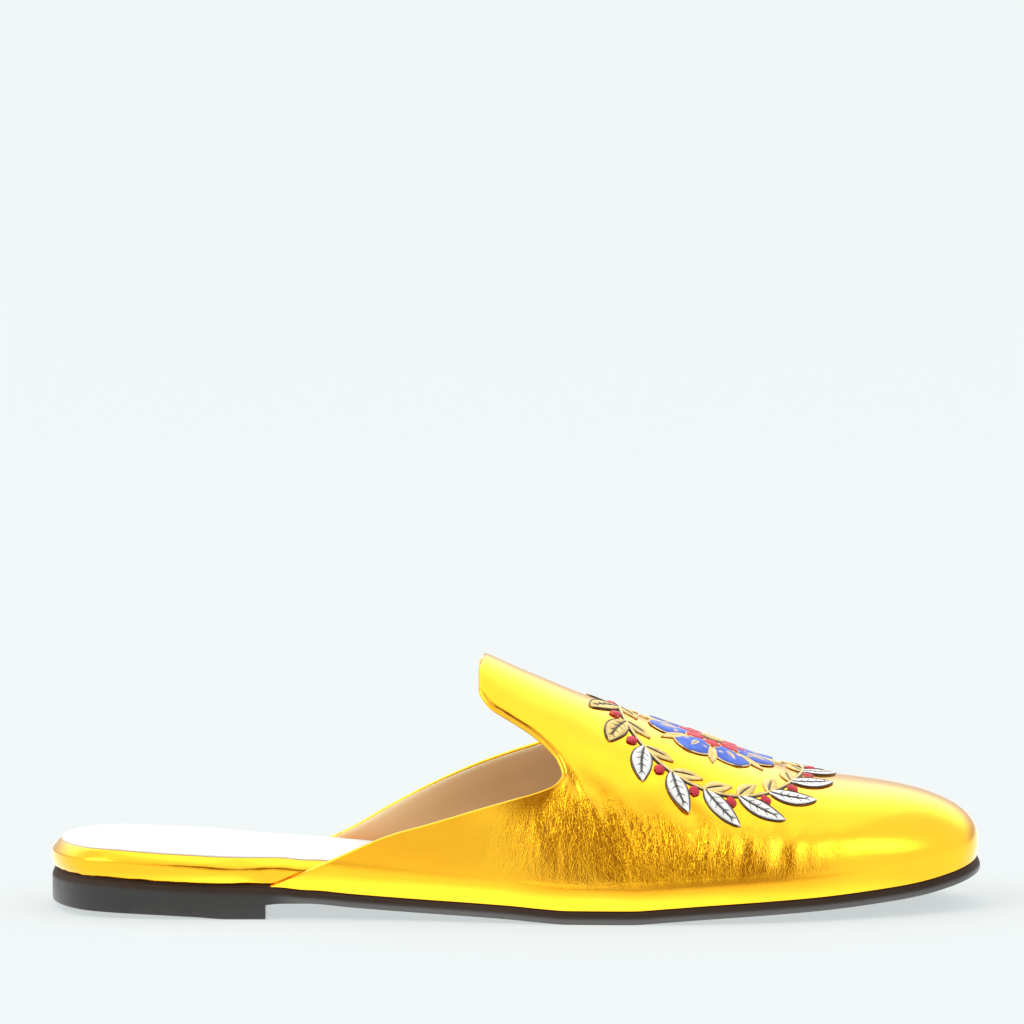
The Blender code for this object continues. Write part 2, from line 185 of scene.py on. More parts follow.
# Soft creases: from (x, height above the sole) to (x, height), how far the line bows
# forward, how deep and how wide it is. They fan out below the notch and thin out over the side.
CREASES = (
    "x0     h0    x1     h1    bow   deep  wide",
    (142.6, 37.6, 146.9, 28.0,  0.5,  0.46, 0.85),
    (146.6, 28.5, 148.6, 16.0,  0.5,  0.30, 1.0),
    (141.2, 35.4, 141.6, 23.0, -0.3,  0.28, 0.9),
    (144.2, 33.8, 145.0, 18.5,  0.3,  0.24, 0.8),
    (138.6, 31.8, 136.0, 17.5, -0.4,  0.32, 1.2),
    (134.2, 28.8, 131.8, 14.0, -0.4,  0.18, 1.1),
    (146.4, 35.0, 156.0, 27.5,  0.8,  0.14, 2.2),
    (151.6, 30.4, 157.0, 16.0,  0.8,  0.20, 1.2),
    (139.8, 25.0, 140.2, 11.5,  0.3,  0.16, 0.9),
    (150.0, 24.0, 152.5, 11.0,  0.4,  0.15, 1.0),
    (156.6, 28.5, 163.5, 17.0,  0.8,  0.16, 1.3),
    (129.6, 25.4, 127.0, 12.0, -0.3,  0.10, 1.3),
    (161.0, 22.0, 164.5, 10.5,  0.4,  0.13, 1.3),
    (167.0, 25.5, 170.5, 13.0,  0.4,  0.10, 1.5),
    (173.0, 29.5, 180.5, 19.0,  0.6,  0.42, 2.8),
    (179.5, 21.0, 176.0, 12.0, -0.4,  0.20, 1.6),
    (186.4, 21.5, 183.5, 11.0, -0.4,  0.14, 1.7),
    (191.0, 19.0, 190.5, 10.5,  0.3,  0.12, 1.6),
    (203.6, 20.5, 200.6,  9.8, -0.6,  0.36, 2.4),
    (208.5, 17.0, 207.0, 10.0,  0.2,  0.10, 1.4),
    (216.0, 18.0, 214.5, 10.5,  0.2,  0.08, 2.0),
    (197.0, 21.5, 195.5, 13.0,  0.2,  0.08, 1.6),
    (123.0, 23.0, 119.5, 11.0, -0.3,  0.06, 1.6),
)

# The sewn wreath on the vamp, in the vamp's own chart: along the shoe and across from the ridge.
WREATH_AT = 183.0
WREATH_ALONG = 25.5
WREATH_ACROSS = 33.0
WREATH_LEAVES = 17
STITCH = 0.40           # pitch of the satin stitches
THREAD = 0.46           # width of a thread


# ---- small tools -------------------------------------------------------------------------------
def columns(rows):
    names = rows[0].split()
    return {name: np.array([row[k] for row in rows[1:]], float) for k, name in enumerate(names)}


def spline(knots, values):
    """Natural cubic through the rows."""
    n, h = len(knots), np.diff(knots)
    system, right = np.eye(n), np.zeros(n)
    for i in range(1, n - 1):
        system[i, i - 1 : i + 2] = h[i - 1], 2 * (h[i - 1] + h[i]), h[i]
        right[i] = 6 * ((values[i + 1] - values[i]) / h[i] - (values[i] - values[i - 1]) / h[i - 1])
    bend = np.linalg.solve(system, right)

    def at(x):
        x = np.asarray(x, float)
        i = np.clip(np.searchsorted(knots, x) - 1, 0, n - 2)
        g, d, e = h[i], knots[i + 1] - x, x - knots[i]
        return (
            (bend[i] * d**3 + bend[i + 1] * e**3) / (6 * g)
            + (values[i] / g - bend[i] * g / 6) * d
            + (values[i + 1] / g - bend[i + 1] * g / 6) * e
        )

    return at


def monotone(knots, values):
    """Cubic through the rows that never overshoots one."""
    h = np.diff(knots)
    slope = np.diff(values) / h
    m = np.zeros(len(knots))
    m[0], m[-1] = slope[0], slope[-1]
    for i in range(1, len(knots) - 1):
        if slope[i - 1] * slope[i] > 0:
            a, b = 2 * h[i] + h[i - 1], h[i] + 2 * h[i - 1]
            m[i] = (a + b) / (a / slope[i - 1] + b / slope[i])

    def at(x):
        x = np.clip(np.asarray(x, float), knots[0], knots[-1])
        i = np.clip(np.searchsorted(knots, x) - 1, 0, len(knots) - 2)
        t = (x - knots[i]) / h[i]
        return (
            (1 + 2 * t) * (1 - t) ** 2 * values[i]
            + t * (1 - t) ** 2 * h[i] * m[i]
            + t**2 * (3 - 2 * t) * values[i + 1]
            + t**2 * (t - 1) * h[i] * m[i + 1]
        )

    return at


def ease(t):
    t = np.clip(t, 0.0, 1.0)
    return t * t * (3 - 2 * t)


def smooth_noise(u, v, seed, octaves=3):
    """Repeatable smooth noise from a few sine waves, about -1 to 1."""
    rng = np.random.default_rng(seed)
    total = 0.0
    for k in range(octaves * 3):
        f = 2.0 ** (k // 3)
        a, b, c = rng.uniform(-1, 1), rng.uniform(-1, 1), rng.uniform(0, 2 * np.pi)
        size = np.hypot(a, b) + 1e-9
        total = total + np.sin(f * (a * u + b * v) / size + c) / f
    return total / (3 * 1.6)


# ---- the last ----------------------------------------------------------------------------------
_plan = columns(OUTLINE)
_turn = np.arccos(1 - 2 * _plan["x"] / LENGTH)
_half = {-1: spline(_turn, _plan["lateral"]), 1: spline(_turn, _plan["medial"])}
_sole = columns(UNDERSIDE)
_under = monotone(_sole["x"], _sole["height"])
_thick = monotone(_sole["x"], _sole["thick"])
_tread = monotone(*columns(HEEL_TREAD).values())
_footbed = monotone(*columns(FOOTBED).values())
_sec = columns(SECTIONS)
_ridge = spline(_sec["x"], _sec["ridge"])
_lean = spline(_sec["x"], _sec["lean"])
_across = spline(_sec["x"], _sec["across"])
_upwards = spline(_sec["x"], _sec["upwards"])


def turn_of(x):
    return np.arccos(np.clip(1 - 2 * np.asarray(x, float) / LENGTH, -1, 1))


def centre(x):
    return TOE_SHIFT * ease((x - TOE_SHIFT_START) / (LENGTH - TOE_SHIFT_START))


def half_width(x, side):
    return np.maximum(_half[side](turn_of(x)), 0.0)


def seat(x):
    return _under(x) + _thick(x)


def feather(x):
    return seat(x) + GAP


def toe_share(x):
    return np.clip((x - TOE_START) / (LENGTH - TOE_OVER - TOE_START), 0.0, 1.0)


def ridge_height(x):
    drop = np.maximum(1 - toe_share(x) ** TOE_PLAN_POWER, 0.0) ** (1 / TOE_DROP_POWER)
    return (_ridge(x) - feather(x)) * drop


def skin(x, share):
    """Point on the upper's outer face before the tuck."""
    x, share = np.broadcast_arrays(np.asarray(x, float), np.asarray(share, float))
    side = np.where(share < 0, -1, 1)
    out = BULGE * (1 - ease((x - 215.0) / 40.0))
    width = np.where(side < 0, half_width(x, -1), half_width(x, 1))
    width = np.where(width > 0, width + out * np.minimum(1.0, width / 8.0), 0.0)
    rise = np.maximum(1 - np.abs(share) ** _across(x), 0.0) ** (1 / _upwards(x))
    y = centre(x) + width * share + _lean(x) * (1 - share**2)
    return np.stack([x, y, feather(x) + ridge_height(x) * rise], axis=-1)


def girth_angle(x, height):
    part = np.clip(height / ridge_height(x), 0, 1) ** _upwards(x)
    return np.degrees(np.arcsin((1 - part) ** (1 / _across(x))))


_top = columns(TOPLINE)
_edge = columns(TONGUE_EDGE)


def topline(side):
    heights = _top["lateral" if side < 0 else "medial"]
    angles = np.concatenate([girth_angle(_top["x"], heights), _edge["angle"]])
    where = np.concatenate([_top["x"], _edge["x"]])
    order = np.argsort(angles)
    return monotone(angles[order], where[order])


_topline = {-1: topline(-1), 1: topline(1)}


def vertex_normals(grid):
    face = np.cross(grid[1:, 1:] - grid[:-1, :-1], grid[:-1, 1:] - grid[1:, :-1])
    total = np.zeros_like(grid)
    for di in (0, 1):
        for dj in (0, 1):
            total[di : di + face.shape[0], dj : dj + face.shape[1]] += face
    return total / np.maximum(np.linalg.norm(total, axis=-1, keepdims=True), 1e-12)


def tuck_in(grid):
    """The lasted edge draws in towards the sole."""
    normal = vertex_normals(grid)
    level = normal * [1, 1, 0]
    level /= np.maximum(np.linalg.norm(level, axis=-1, keepdims=True), 1e-9)
    x, above = grid[..., 0], grid[..., 2] - feather(grid[..., 0])
    tuck = (BULGE + FEATHER_IN) * (1 - ease((x - 215.0) / 40.0)) + 1.0 * ease((x - 215.0) / 40.0)
    tuck = tuck * np.clip(1 - above / TUCK_HEIGHT, 0, 1) ** 2
    return grid - level * tuck[..., None]


def girth_grid(steps):
    fine = np.linspace(0.0, 90.0, 1441)
    density = 1.0 + 1.3 * np.exp(-(((fine - 44.0) / 12.0) ** 2)) + 0.9 * np.exp(-(((fine - 27.0) / 5.0) ** 2))
    run = np.concatenate([[0.0], np.cumsum((density[1:] + density[:-1]) / 2)])
    half = np.interp(np.linspace(0, run[-1], steps // 2 + 1), run, fine)
    return np.concatenate([-half[:0:-1], half])


def plain_rows(start, share, rear_steps):
    rows = []
    for t in np.linspace(0, 1, rear_steps + 1)[:-1]:
        t = 0.75 * t + 0.25 * t**2
        rows.append(skin(start + (TOE_START - start) * t, share))
    return rows


def toe_rows(share, toe_steps):
    rows = []
    for t in np.sin(np.linspace(0, np.pi / 2, toe_steps + 1)):
        along = t * np.sqrt(1 - share**2 / 2)
        side = share * np.sqrt(1 - t**2 / 2)
        room = np.sqrt(np.maximum(1 - along**2, 0))
        part = np.divide(side, room, out=np.sign(share), where=room > 1e-9)
        if t > 1 - 1e-9:
            part = np.sign(share)
        rows.append(skin(TOE_START + (LENGTH - TOE_OVER - TOE_START) * along, np.clip(part, -1, 1)))
    return rows


def edge_start(angles):
    return np.where(angles < 0, _topline[-1](np.abs(angles)), _topline[1](np.abs(angles)))


# The origin under the middle of the shoe, worked out on the solids' own coarse grid.
def coarse_grid():
    fine = np.linspace(0.0, 90.0, 721)
    density = 1.0 + 1.6 * np.exp(-(((fine - 44.0) / 11.0) ** 2)) + 0.9 * np.exp(-(((fine - 27.0) / 5.0) ** 2))
    run = np.concatenate([[0.0], np.cumsum((density[1:] + density[:-1]) / 2)])
    half = np.interp(np.linspace(0, run[-1], 22), run, fine)
    angles = np.concatenate([-half[:0:-1], half])
    share = np.sin(np.radians(angles))
    return tuck_in(np.array(plain_rows(edge_start(angles), share, 19) + toe_rows(share, 11)))


_coarse = coarse_grid()
_xs = np.linspace(0, LENGTH, 2001)
_y_low = (centre(_xs) - half_width(_xs, -1)).min()
_y_high = (centre(_xs) + half_width(_xs, 1)).max()
ORIGIN = np.array(
    [
        (LENGTH + min(BAND_IN, 0.0)) / 2,
        (min(_coarse[..., 1].min(), _y_low) + max(_coarse[..., 1].max(), _y_high)) / 2,
        0.0,
    ]
)


# ---- camera ------------------------------------------------------------------------------------
def set_camera():
    pitch = np.radians(5.6)
    aim = np.array([-1.19, 0.0, 109.46]) * MM
    data = bpy.data.cameras.new("camera")
    data.sensor_fit = "HORIZONTAL"
    data.sensor_width = 36.0
    data.lens = 8668.0 / 1024.0 * 36.0
    data.clip_start, data.clip_end = 0.1, 60.0
    made = bpy.data.objects.new("camera", data)
    bpy.context.scene.collection.objects.link(made)
    made.location = aim + 2.4 * np.array([0.0, -np.cos(pitch), np.sin(pitch)])
    made.rotation_euler = (np.pi / 2 - pitch, 0.0, 0.0)
    bpy.context.scene.camera = made


set_camera()
bpy.context.scene.view_settings.view_transform = "Standard"
bpy.context.scene.view_settings.look = "None"


# ---- pieces ------------------------------------------------------------------------------------
def add_piece(name, points, faces, finish, node=None, attributes=None, uv=None, sharp=None):
    mesh = bpy.data.meshes.new(name)
    mesh.from_pydata(((np.asarray(points) - ORIGIN) * MM).tolist(), [], [tuple(map(int, f)) for f in faces])
    mesh.validate()
    for key, values in (attributes or {}).items():
        kept = mesh.attributes.new(key, "FLOAT", "POINT")
        kept.data.foreach_set("value", np.asarray(values, np.float32).ravel())
    if uv is not None:
        for key, values in uv.items():
            layer = mesh.uv_layers.new(name=key)
            index = np.empty(len(mesh.loops), np.int32)
            mesh.loops.foreach_get("vertex_index", index)
            layer.data.foreach_set("uv", np.asarray(values, np.float32)[index].ravel())
    mesh.shade_smooth()
    if sharp:
        mesh.set_sharp_from_angle(angle=np.radians(sharp))
    made = bpy.data.objects.new(name, mesh)
    bpy.context.scene.collection.objects.link(made)
    mesh.materials.append(finish)
    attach(made, "root")
    if node:
        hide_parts(*([node] if isinstance(node, str) else node))
    return made


def two_faces(outer, inner):
    """Points and faces of a sheet with a rolled edge: both faces share the first row."""
    rows, cols = outer.shape[:2]
    points = np.concatenate([outer.reshape(-1, 3), inner[1:].reshape(-1, 3)])
    a = np.arange(rows * cols).reshape(rows, cols)
    b = np.concatenate([a[:1], a[1:] + (rows - 1) * cols])
    quads = [
        np.stack([a[:-1, :-1], a[1:, :-1], a[1:, 1:], a[:-1, 1:]], -1).reshape(-1, 4),
        np.stack([b[:-1, :-1], b[:-1, 1:], b[1:, 1:], b[1:, :-1]], -1).reshape(-1, 4),
    ]
    # The rim: down the lateral feather line, round the toe and back up the medial one.
    ring_a = np.concatenate([a[:, 0], a[-1, 1:], a[-2::-1, -1]])
    ring_b = np.concatenate([b[:, 0], b[-1, 1:], b[-2::-1, -1]])
    rim = []
    for k in range(len(ring_a) - 1):
        face = [ring_a[k], ring_b[k], ring_b[k + 1], ring_a[k + 1]]
        kept = [v for n, v in enumerate(face) if v not in face[:n]]
        if len(kept) > 2:
            rim.append(kept)
    return points, [tuple(q) for q in np.concatenate(quads)] + [tuple(f) for f in rim]


def distance_to_line(points, line):
    """Least distance of each point to a polyline."""
    flat = points.reshape(-1, 3)
    best = np.full(len(flat), 1e9)
    for a, b in zip(line[:-1], line[1:]):
        ab = b - a
        size = ab @ ab
        if size < 1e-12:
            continue
        t = np.clip((flat - a) @ ab / size, 0, 1)
        best = np.minimum(best, np.linalg.norm(flat - a - t[:, None] * ab, axis=1))
    return best.reshape(points.shape[:-1])


def crease_depth(points):
    """How far the listed creases push each point in, on both sides of the shoe."""
    flat = points.reshape(-1, 3)
    total = np.zeros(len(flat))
    rows = columns(CREASES)
    for side, strength, seed in ((-1, 1.0, 3), (1, 0.85, 8)):
        rng = np.random.default_rng(seed)
        for k in range(len(rows["x0"])):
            jog = rng.uniform(-1.2, 1.2, 4) if side > 0 else np.zeros(4)
            t = np.linspace(0, 1, 36)
            x = rows["x0"][k] + jog[0] + (rows["x1"][k] - rows["x0"][k] + jog[1]) * t
            x = x + rows["bow"][k] * np.sin(np.pi * t)
            rise = 3.0 if side > 0 and rows["x0"][k] < 150 else 0.0
            h = rows["h0"][k] + rise * (1 - t) + jog[2] * 0.5 + (rows["h1"][k] - rows["h0"][k]) * t
            line = skin(x, side * np.sin(np.radians(girth_angle(x, h))))
            near = np.nonzero(np.linalg.norm(flat - line.mean(0), axis=1) < np.linalg.norm(line[-1] - line[0]) / 2 + 5 + 3 * rows["wide"][k])[0]
            if not len(near):
                continue
            gap = np.linalg.norm(flat[near, None] - line[None], axis=2)
            which = gap.argmin(1)
            d = gap[np.arange(len(near)), which]
            taper = np.sin(np.pi * np.clip(t[which] * 0.92 + 0.04, 0, 1)) ** 0.7
            wide, deep = rows["wide"][k], rows["deep"][k] * strength
            shape = np.exp(-((d / wide) ** 2)) - 0.45 * np.exp(-(((d - 1.9 * wide) / wide) ** 2))
            total[near] += deep * taper * shape
    return total.reshape(points.shape[:-1])


# ---- finishes ----------------------------------------------------------------------------------
class Finish:
    """A node material under construction."""

    def __init__(self, name, colour, roughness, **sockets):
        self.material = bpy.data.materials.new(name)
        self.material.use_nodes = True
        self.tree = self.material.node_tree
        self.shader = self.tree.nodes["Principled BSDF"]
        self.set(self.shader, "Base Color", (*colour, 1.0))
        self.set(self.shader, "Roughness", roughness)
        for key, value in sockets.items():
            self.set(self.shader, key.replace("_", " "), value)
        self.material.diffuse_color = (*colour, 1.0)
        self.height = None

    def set(self, node, socket, value):
        if isinstance(value, bpy.types.NodeSocket):
            self.tree.links.new(value, node.inputs[socket])
        else:
            node.inputs[socket].default_value = value

    def node(self, kind, inputs=None, **settings):
        made = self.tree.nodes.new(kind)
        for key, value in settings.items():
            setattr(made, key, value)
        for key, value in (inputs or {}).items():
            self.set(made, key, value)
        return made

    def place(self):
        return self.node("ShaderNodeTexCoord").outputs["Object"]

    def stretch(self, vector, scale):
        return self.node("ShaderNodeMapping", {"Vector": vector, "Scale": scale}).outputs["Vector"]

    def noise(self, vector, scale, detail=2.0, rough=0.5, distortion=0.0):
        made = self.node(
            "ShaderNodeTexNoise",
            {"Vector": vector, "Scale": scale, "Detail": detail, "Roughness": rough, "Distortion": distortion},
        )
        return made.outputs["Fac"]

    def cells(self, vector, scale, feature="F1", smooth=None):
        made = self.node("ShaderNodeTexVoronoi", {"Vector": vector, "Scale": scale}, feature=feature)
        return made.outputs["Distance"]

    def ramp(self, value, low, high, to_low=0.0, to_high=1.0, soft=True):
        made = self.node(
            "ShaderNodeMapRange",
            {"Value": value, "From Min": low, "From Max": high, "To Min": to_low, "To Max": to_high},
            interpolation_type="SMOOTHSTEP" if soft else "LINEAR",
        )
        return made.outputs["Result"]

    def math(self, operation, a, b=None, c=None):
        made = self.tree.nodes.new("ShaderNodeMath")
        made.operation = operation
        for k, value in enumerate((a, b, c)):
            if value is not None:
                self.set(made, k, value)
        return made.outputs[0]

    def mix(self, factor, a, b, blend="MIX"):
        made = self.tree.nodes.new("ShaderNodeMix")
        made.data_type = "RGBA"
        made.blend_type = blend
        self.set(made, 0, factor)
        self.set(made, 6, (*a, 1.0) if isinstance(a, tuple) else a)
        self.set(made, 7, (*b, 1.0) if isinstance(b, tuple) else b)
        return made.outputs[2]

    def kept(self, name):
        return self.node("ShaderNodeAttribute", attribute_name=name).outputs["Fac"]

    def bump(self, height, strength, distance, coat=False):
        made = self.node("ShaderNodeBump", {"Height": height, "Strength": strength, "Distance": distance})
        if self.height is not None:
            self.tree.links.new(self.height, made.inputs["Normal"])
        self.height = made.outputs["Normal"]
        self.tree.links.new(self.height, self.shader.inputs["Normal"])
        if coat:
            self.tree.links.new(self.height, self.shader.inputs["Coat Normal"])


def gold_finish(name, crackled):
    """Gold foil on leather: a metal film with a fine grain, crackled in short strokes where the
    leather was pulled over the last."""
    f = Finish(name, (0.96, 0.50, 0.014), 0.23, Metallic=1.0, Coat_Weight=0.25, Coat_Roughness=0.20, Coat_IOR=1.5)
    place = f.place()
    broad = f.noise(place, 38.0, 2.0, 0.5)
    fine = f.noise(place, 1700.0, 2.0, 0.55)
    grain = f.cells(place, 1500.0)
    colour = f.mix(f.ramp(broad, 0.35, 0.7), (0.965, 0.52, 0.016), (0.95, 0.47, 0.012))
    colour = f.mix(f.ramp(fine, 0.60, 0.80, 0.0, 0.25), colour, (0.80, 0.36, 0.010))
    rough = f.math("ADD", f.ramp(broad, 0.3, 0.7, 0.15, 0.19), f.ramp(fine, 0.4, 0.7, 0.0, 0.03))
    f.bump(grain, 0.10, 0.00006)
    f.bump(fine, 0.10, 0.00005)
    if crackled:
        # Thin raised lines where a stretched noise crosses its middle value, over soft pulls.
        strokes = f.node("ShaderNodeUVMap", uv_map="strokes").outputs["UV"]
        mask = f.kept("crackle")
        first = f.noise(f.stretch(strokes, (1.2, 0.34, 1.0)), 1.0, 1.5, 0.5, 0.5)
        second = f.noise(f.stretch(strokes, (2.4, 0.80, 1.0)), 1.0, 1.0, 0.5, 0.4)
        pulls = f.noise(f.stretch(strokes, (0.26, 0.085, 1.0)), 1.0, 2.0, 0.5, 0.3)
        line_1 = f.ramp(f.math("ABSOLUTE", f.math("SUBTRACT", first, 0.5)), 0.0, 0.085, 1.0, 0.0)
        line_2 = f.ramp(f.math("ABSOLUTE", f.math("SUBTRACT", second, 0.5)), 0.0, 0.11, 1.0, 0.0)
        lines = f.math("ADD", line_1, f.math("MULTIPLY", line_2, 0.55))
        f.bump(f.math("MULTIPLY", pulls, f.math("MULTIPLY", mask, mask)), 0.8, 0.00045)
        f.bump(f.math("MULTIPLY", lines, mask), 0.9, 0.000025)
        # Painted shade: the gold darkens along the pressed line by the tongue's edge and in the pinch right of the
        # notch.
        colour = f.mix(f.math("MULTIPLY", f.kept("press"), 0.85), colour, (0.50, 0.20, 0.008))
    f.set(f.shader, "Base Color", colour)
    f.set(f.shader, "Roughness", rough)
    return f.material


def lining_finish():
    """Smooth tan lining leather, paler on its cut edge as a painted highlight, with a fine pore pattern."""
    f = Finish("lining_leather", (0.72, 0.42, 0.19), 0.50, Sheen_Weight=0.05)
    place = f.place()
    broad = f.noise(place, 26.0, 3.0, 0.55)
    pores = f.cells(place, 2300.0)
    fine = f.noise(place, 900.0, 3.0, 0.6)
    colour = f.mix(f.ramp(broad, 0.32, 0.70), (0.84, 0.545, 0.275), (0.79, 0.485, 0.225))
    colour = f.mix(f.ramp(fine, 0.58, 0.76, 0.0, 0.25), colour, (0.70, 0.41, 0.18))
    colour = f.mix(f.kept("shade"), colour, (0.52, 0.27, 0.105))
    # Painted highlight: paler within about a millimetre of the cut edge.
    colour = f.mix(f.kept("edge"), colour, (0.97, 0.80, 0.50))
    f.set(f.shader, "Base Color", colour)
    f.set(f.shader, "Roughness", f.ramp(fine, 0.3, 0.7, 0.42, 0.56))
    f.bump(pores, 0.20, 0.00008)
    f.bump(fine, 0.18, 0.00010)
    return f.material


def sock_finish():
    f = Finish("sock_leather", (0.82, 0.82, 0.80), 0.48)
    place = f.place()
    broad = f.noise(place, 22.0, 3.0, 0.55)
    pores = f.cells(place, 1900.0)
    fine = f.noise(place, 700.0, 3.0, 0.6)
    colour = f.mix(f.ramp(broad, 0.3, 0.7), (0.60, 0.615, 0.610), (0.565, 0.58, 0.575))
    colour = f.mix(f.ramp(fine, 0.58, 0.78, 0.0, 0.25), colour, (0.50, 0.51, 0.50))
    f.set(f.shader, "Base Color", colour)
    f.set(f.shader, "Roughness", f.ramp(fine, 0.3, 0.7, 0.42, 0.55))
    f.bump(pores, 0.18, 0.00008)
    f.bump(fine, 0.20, 0.00012)
    return f.material


def sole_finish(name, edge):
    """Black sole. With edge set, its upper edge under the gold leather's tuck gets painted shade with a brownish
    painted reflection of the gold, and the lower part of its edge a lighter grey painted reflection of the floor.
    """
    f = Finish(name, (0.03, 0.03, 0.029), 0.42, Specular_IOR_Level=0.32)
    place = f.place()
    broad = f.noise(place, 60.0, 3.0, 0.6)
    fine = f.noise(place, 1300.0, 3.0, 0.6)
    streaks = f.noise(f.stretch(place, (120.0, 120.0, 2600.0)), 1.0, 2.0, 0.5)
    colour = f.mix(f.ramp(broad, 0.3, 0.7), (0.030, 0.030, 0.029), (0.022, 0.022, 0.0215))
    colour = f.mix(f.ramp(fine, 0.55, 0.75, 0.0, 0.5), colour, (0.042, 0.041, 0.039))
    rough = f.ramp(broad, 0.3, 0.7, 0.38, 0.50)
    if edge:
        brown = f.kept("brown")
        # Painted reflection of the bright floor: lighter grey over the lower part of the edge.
        colour = f.mix(f.kept("pale"), colour, (0.105, 0.106, 0.103))
        # Painted shade under the leather's tuck, tinted as a brownish painted reflection of the gold.
        colour = f.mix(brown, colour, (0.022, 0.009, 0.0025))
        rough = f.math("ADD", rough, f.math("MULTIPLY", brown, 0.3))
    f.set(f.shader, "Base Color", colour)
    f.set(f.shader, "Roughness", rough)
    f.bump(fine, 0.25, 0.00010)
    f.bump(streaks, 0.18, 0.00008)
    return f.material


def thread_finish(name, colour, dark):
    """Rayon thread: a soft gloss and small changes of tone from stitch to stitch."""
    f = Finish(name, colour, 0.38, Sheen_Weight=0.12, Coat_Weight=0.12, Coat_Roughness=0.35)
    place = f.place()
    tone = f.noise(place, 420.0, 2.0, 0.5)
    fibre = f.noise(place, 5200.0, 2.0, 0.6)
    shade = f.mix(f.ramp(tone, 0.35, 0.68, 0.0, 0.55), colour, dark)
    f.set(f.shader, "Base Color", shade)
    f.set(f.shader, "Roughness", f.ramp(fibre, 0.3, 0.7, 0.32, 0.48))
    f.bump(fibre, 0.35, 0.00006)
    return f.material


gold = gold_finish("gold_leather", True)
wrap = gold_finish("gold_wrap", False)
lining = lining_finish()
sock = sock_finish()
sole_black = sole_finish("sole_rubber", True)
heel_black = sole_finish("heel_rubber", False)
seam_dark = sole_finish("seam_dark", True)


# ---- upper: leather and lining -----------------------------------------------------------------
def sheet_rows(angles, near, first, rear_steps, toe_steps):
    """Grid of the upper's outer face. Rows near the opening follow at the given distances from
    its edge, the first of them at `first`."""
    share = np.sin(np.radians(angles))
    start = edge_start(angles)
    edge = skin(start, share)
    forward = skin(start + 0.5, share) - edge
    pace = np.linalg.norm(forward, axis=1) / 0.5
    forward /= np.linalg.norm(forward, axis=1, keepdims=True)
    along = np.gradient(edge, axis=0)
    along /= np.maximum(np.linalg.norm(along, axis=1, keepdims=True), 1e-9)
    slant = np.sqrt(np.maximum(1 - np.sum(forward * along, axis=1) ** 2, 0.06))
    slant = np.convolve(np.pad(slant, 3, mode="edge"), np.ones(7) / 7, mode="valid")
    rows = []
    for q in near:
        rows.append(skin(start + (first + q) / slant / pace, share))
    begin = start + (first + near[-1]) / slant / pace
    step = (near[-1] - near[-2]) / slant / pace
    for k in range(1, rear_steps):
        t = k / rear_steps
        # The spacing grows from the last near step to an even run.
        total = TOE_START - begin
        ratio = np.clip(step * rear_steps / total, 0.05, 1.0)
        rows.append(skin(begin + total * (ratio * t + (1 - ratio) * t**1.6), share))
    grid = np.array(rows + toe_rows(share, toe_steps))
    return tuck_in(grid), edge


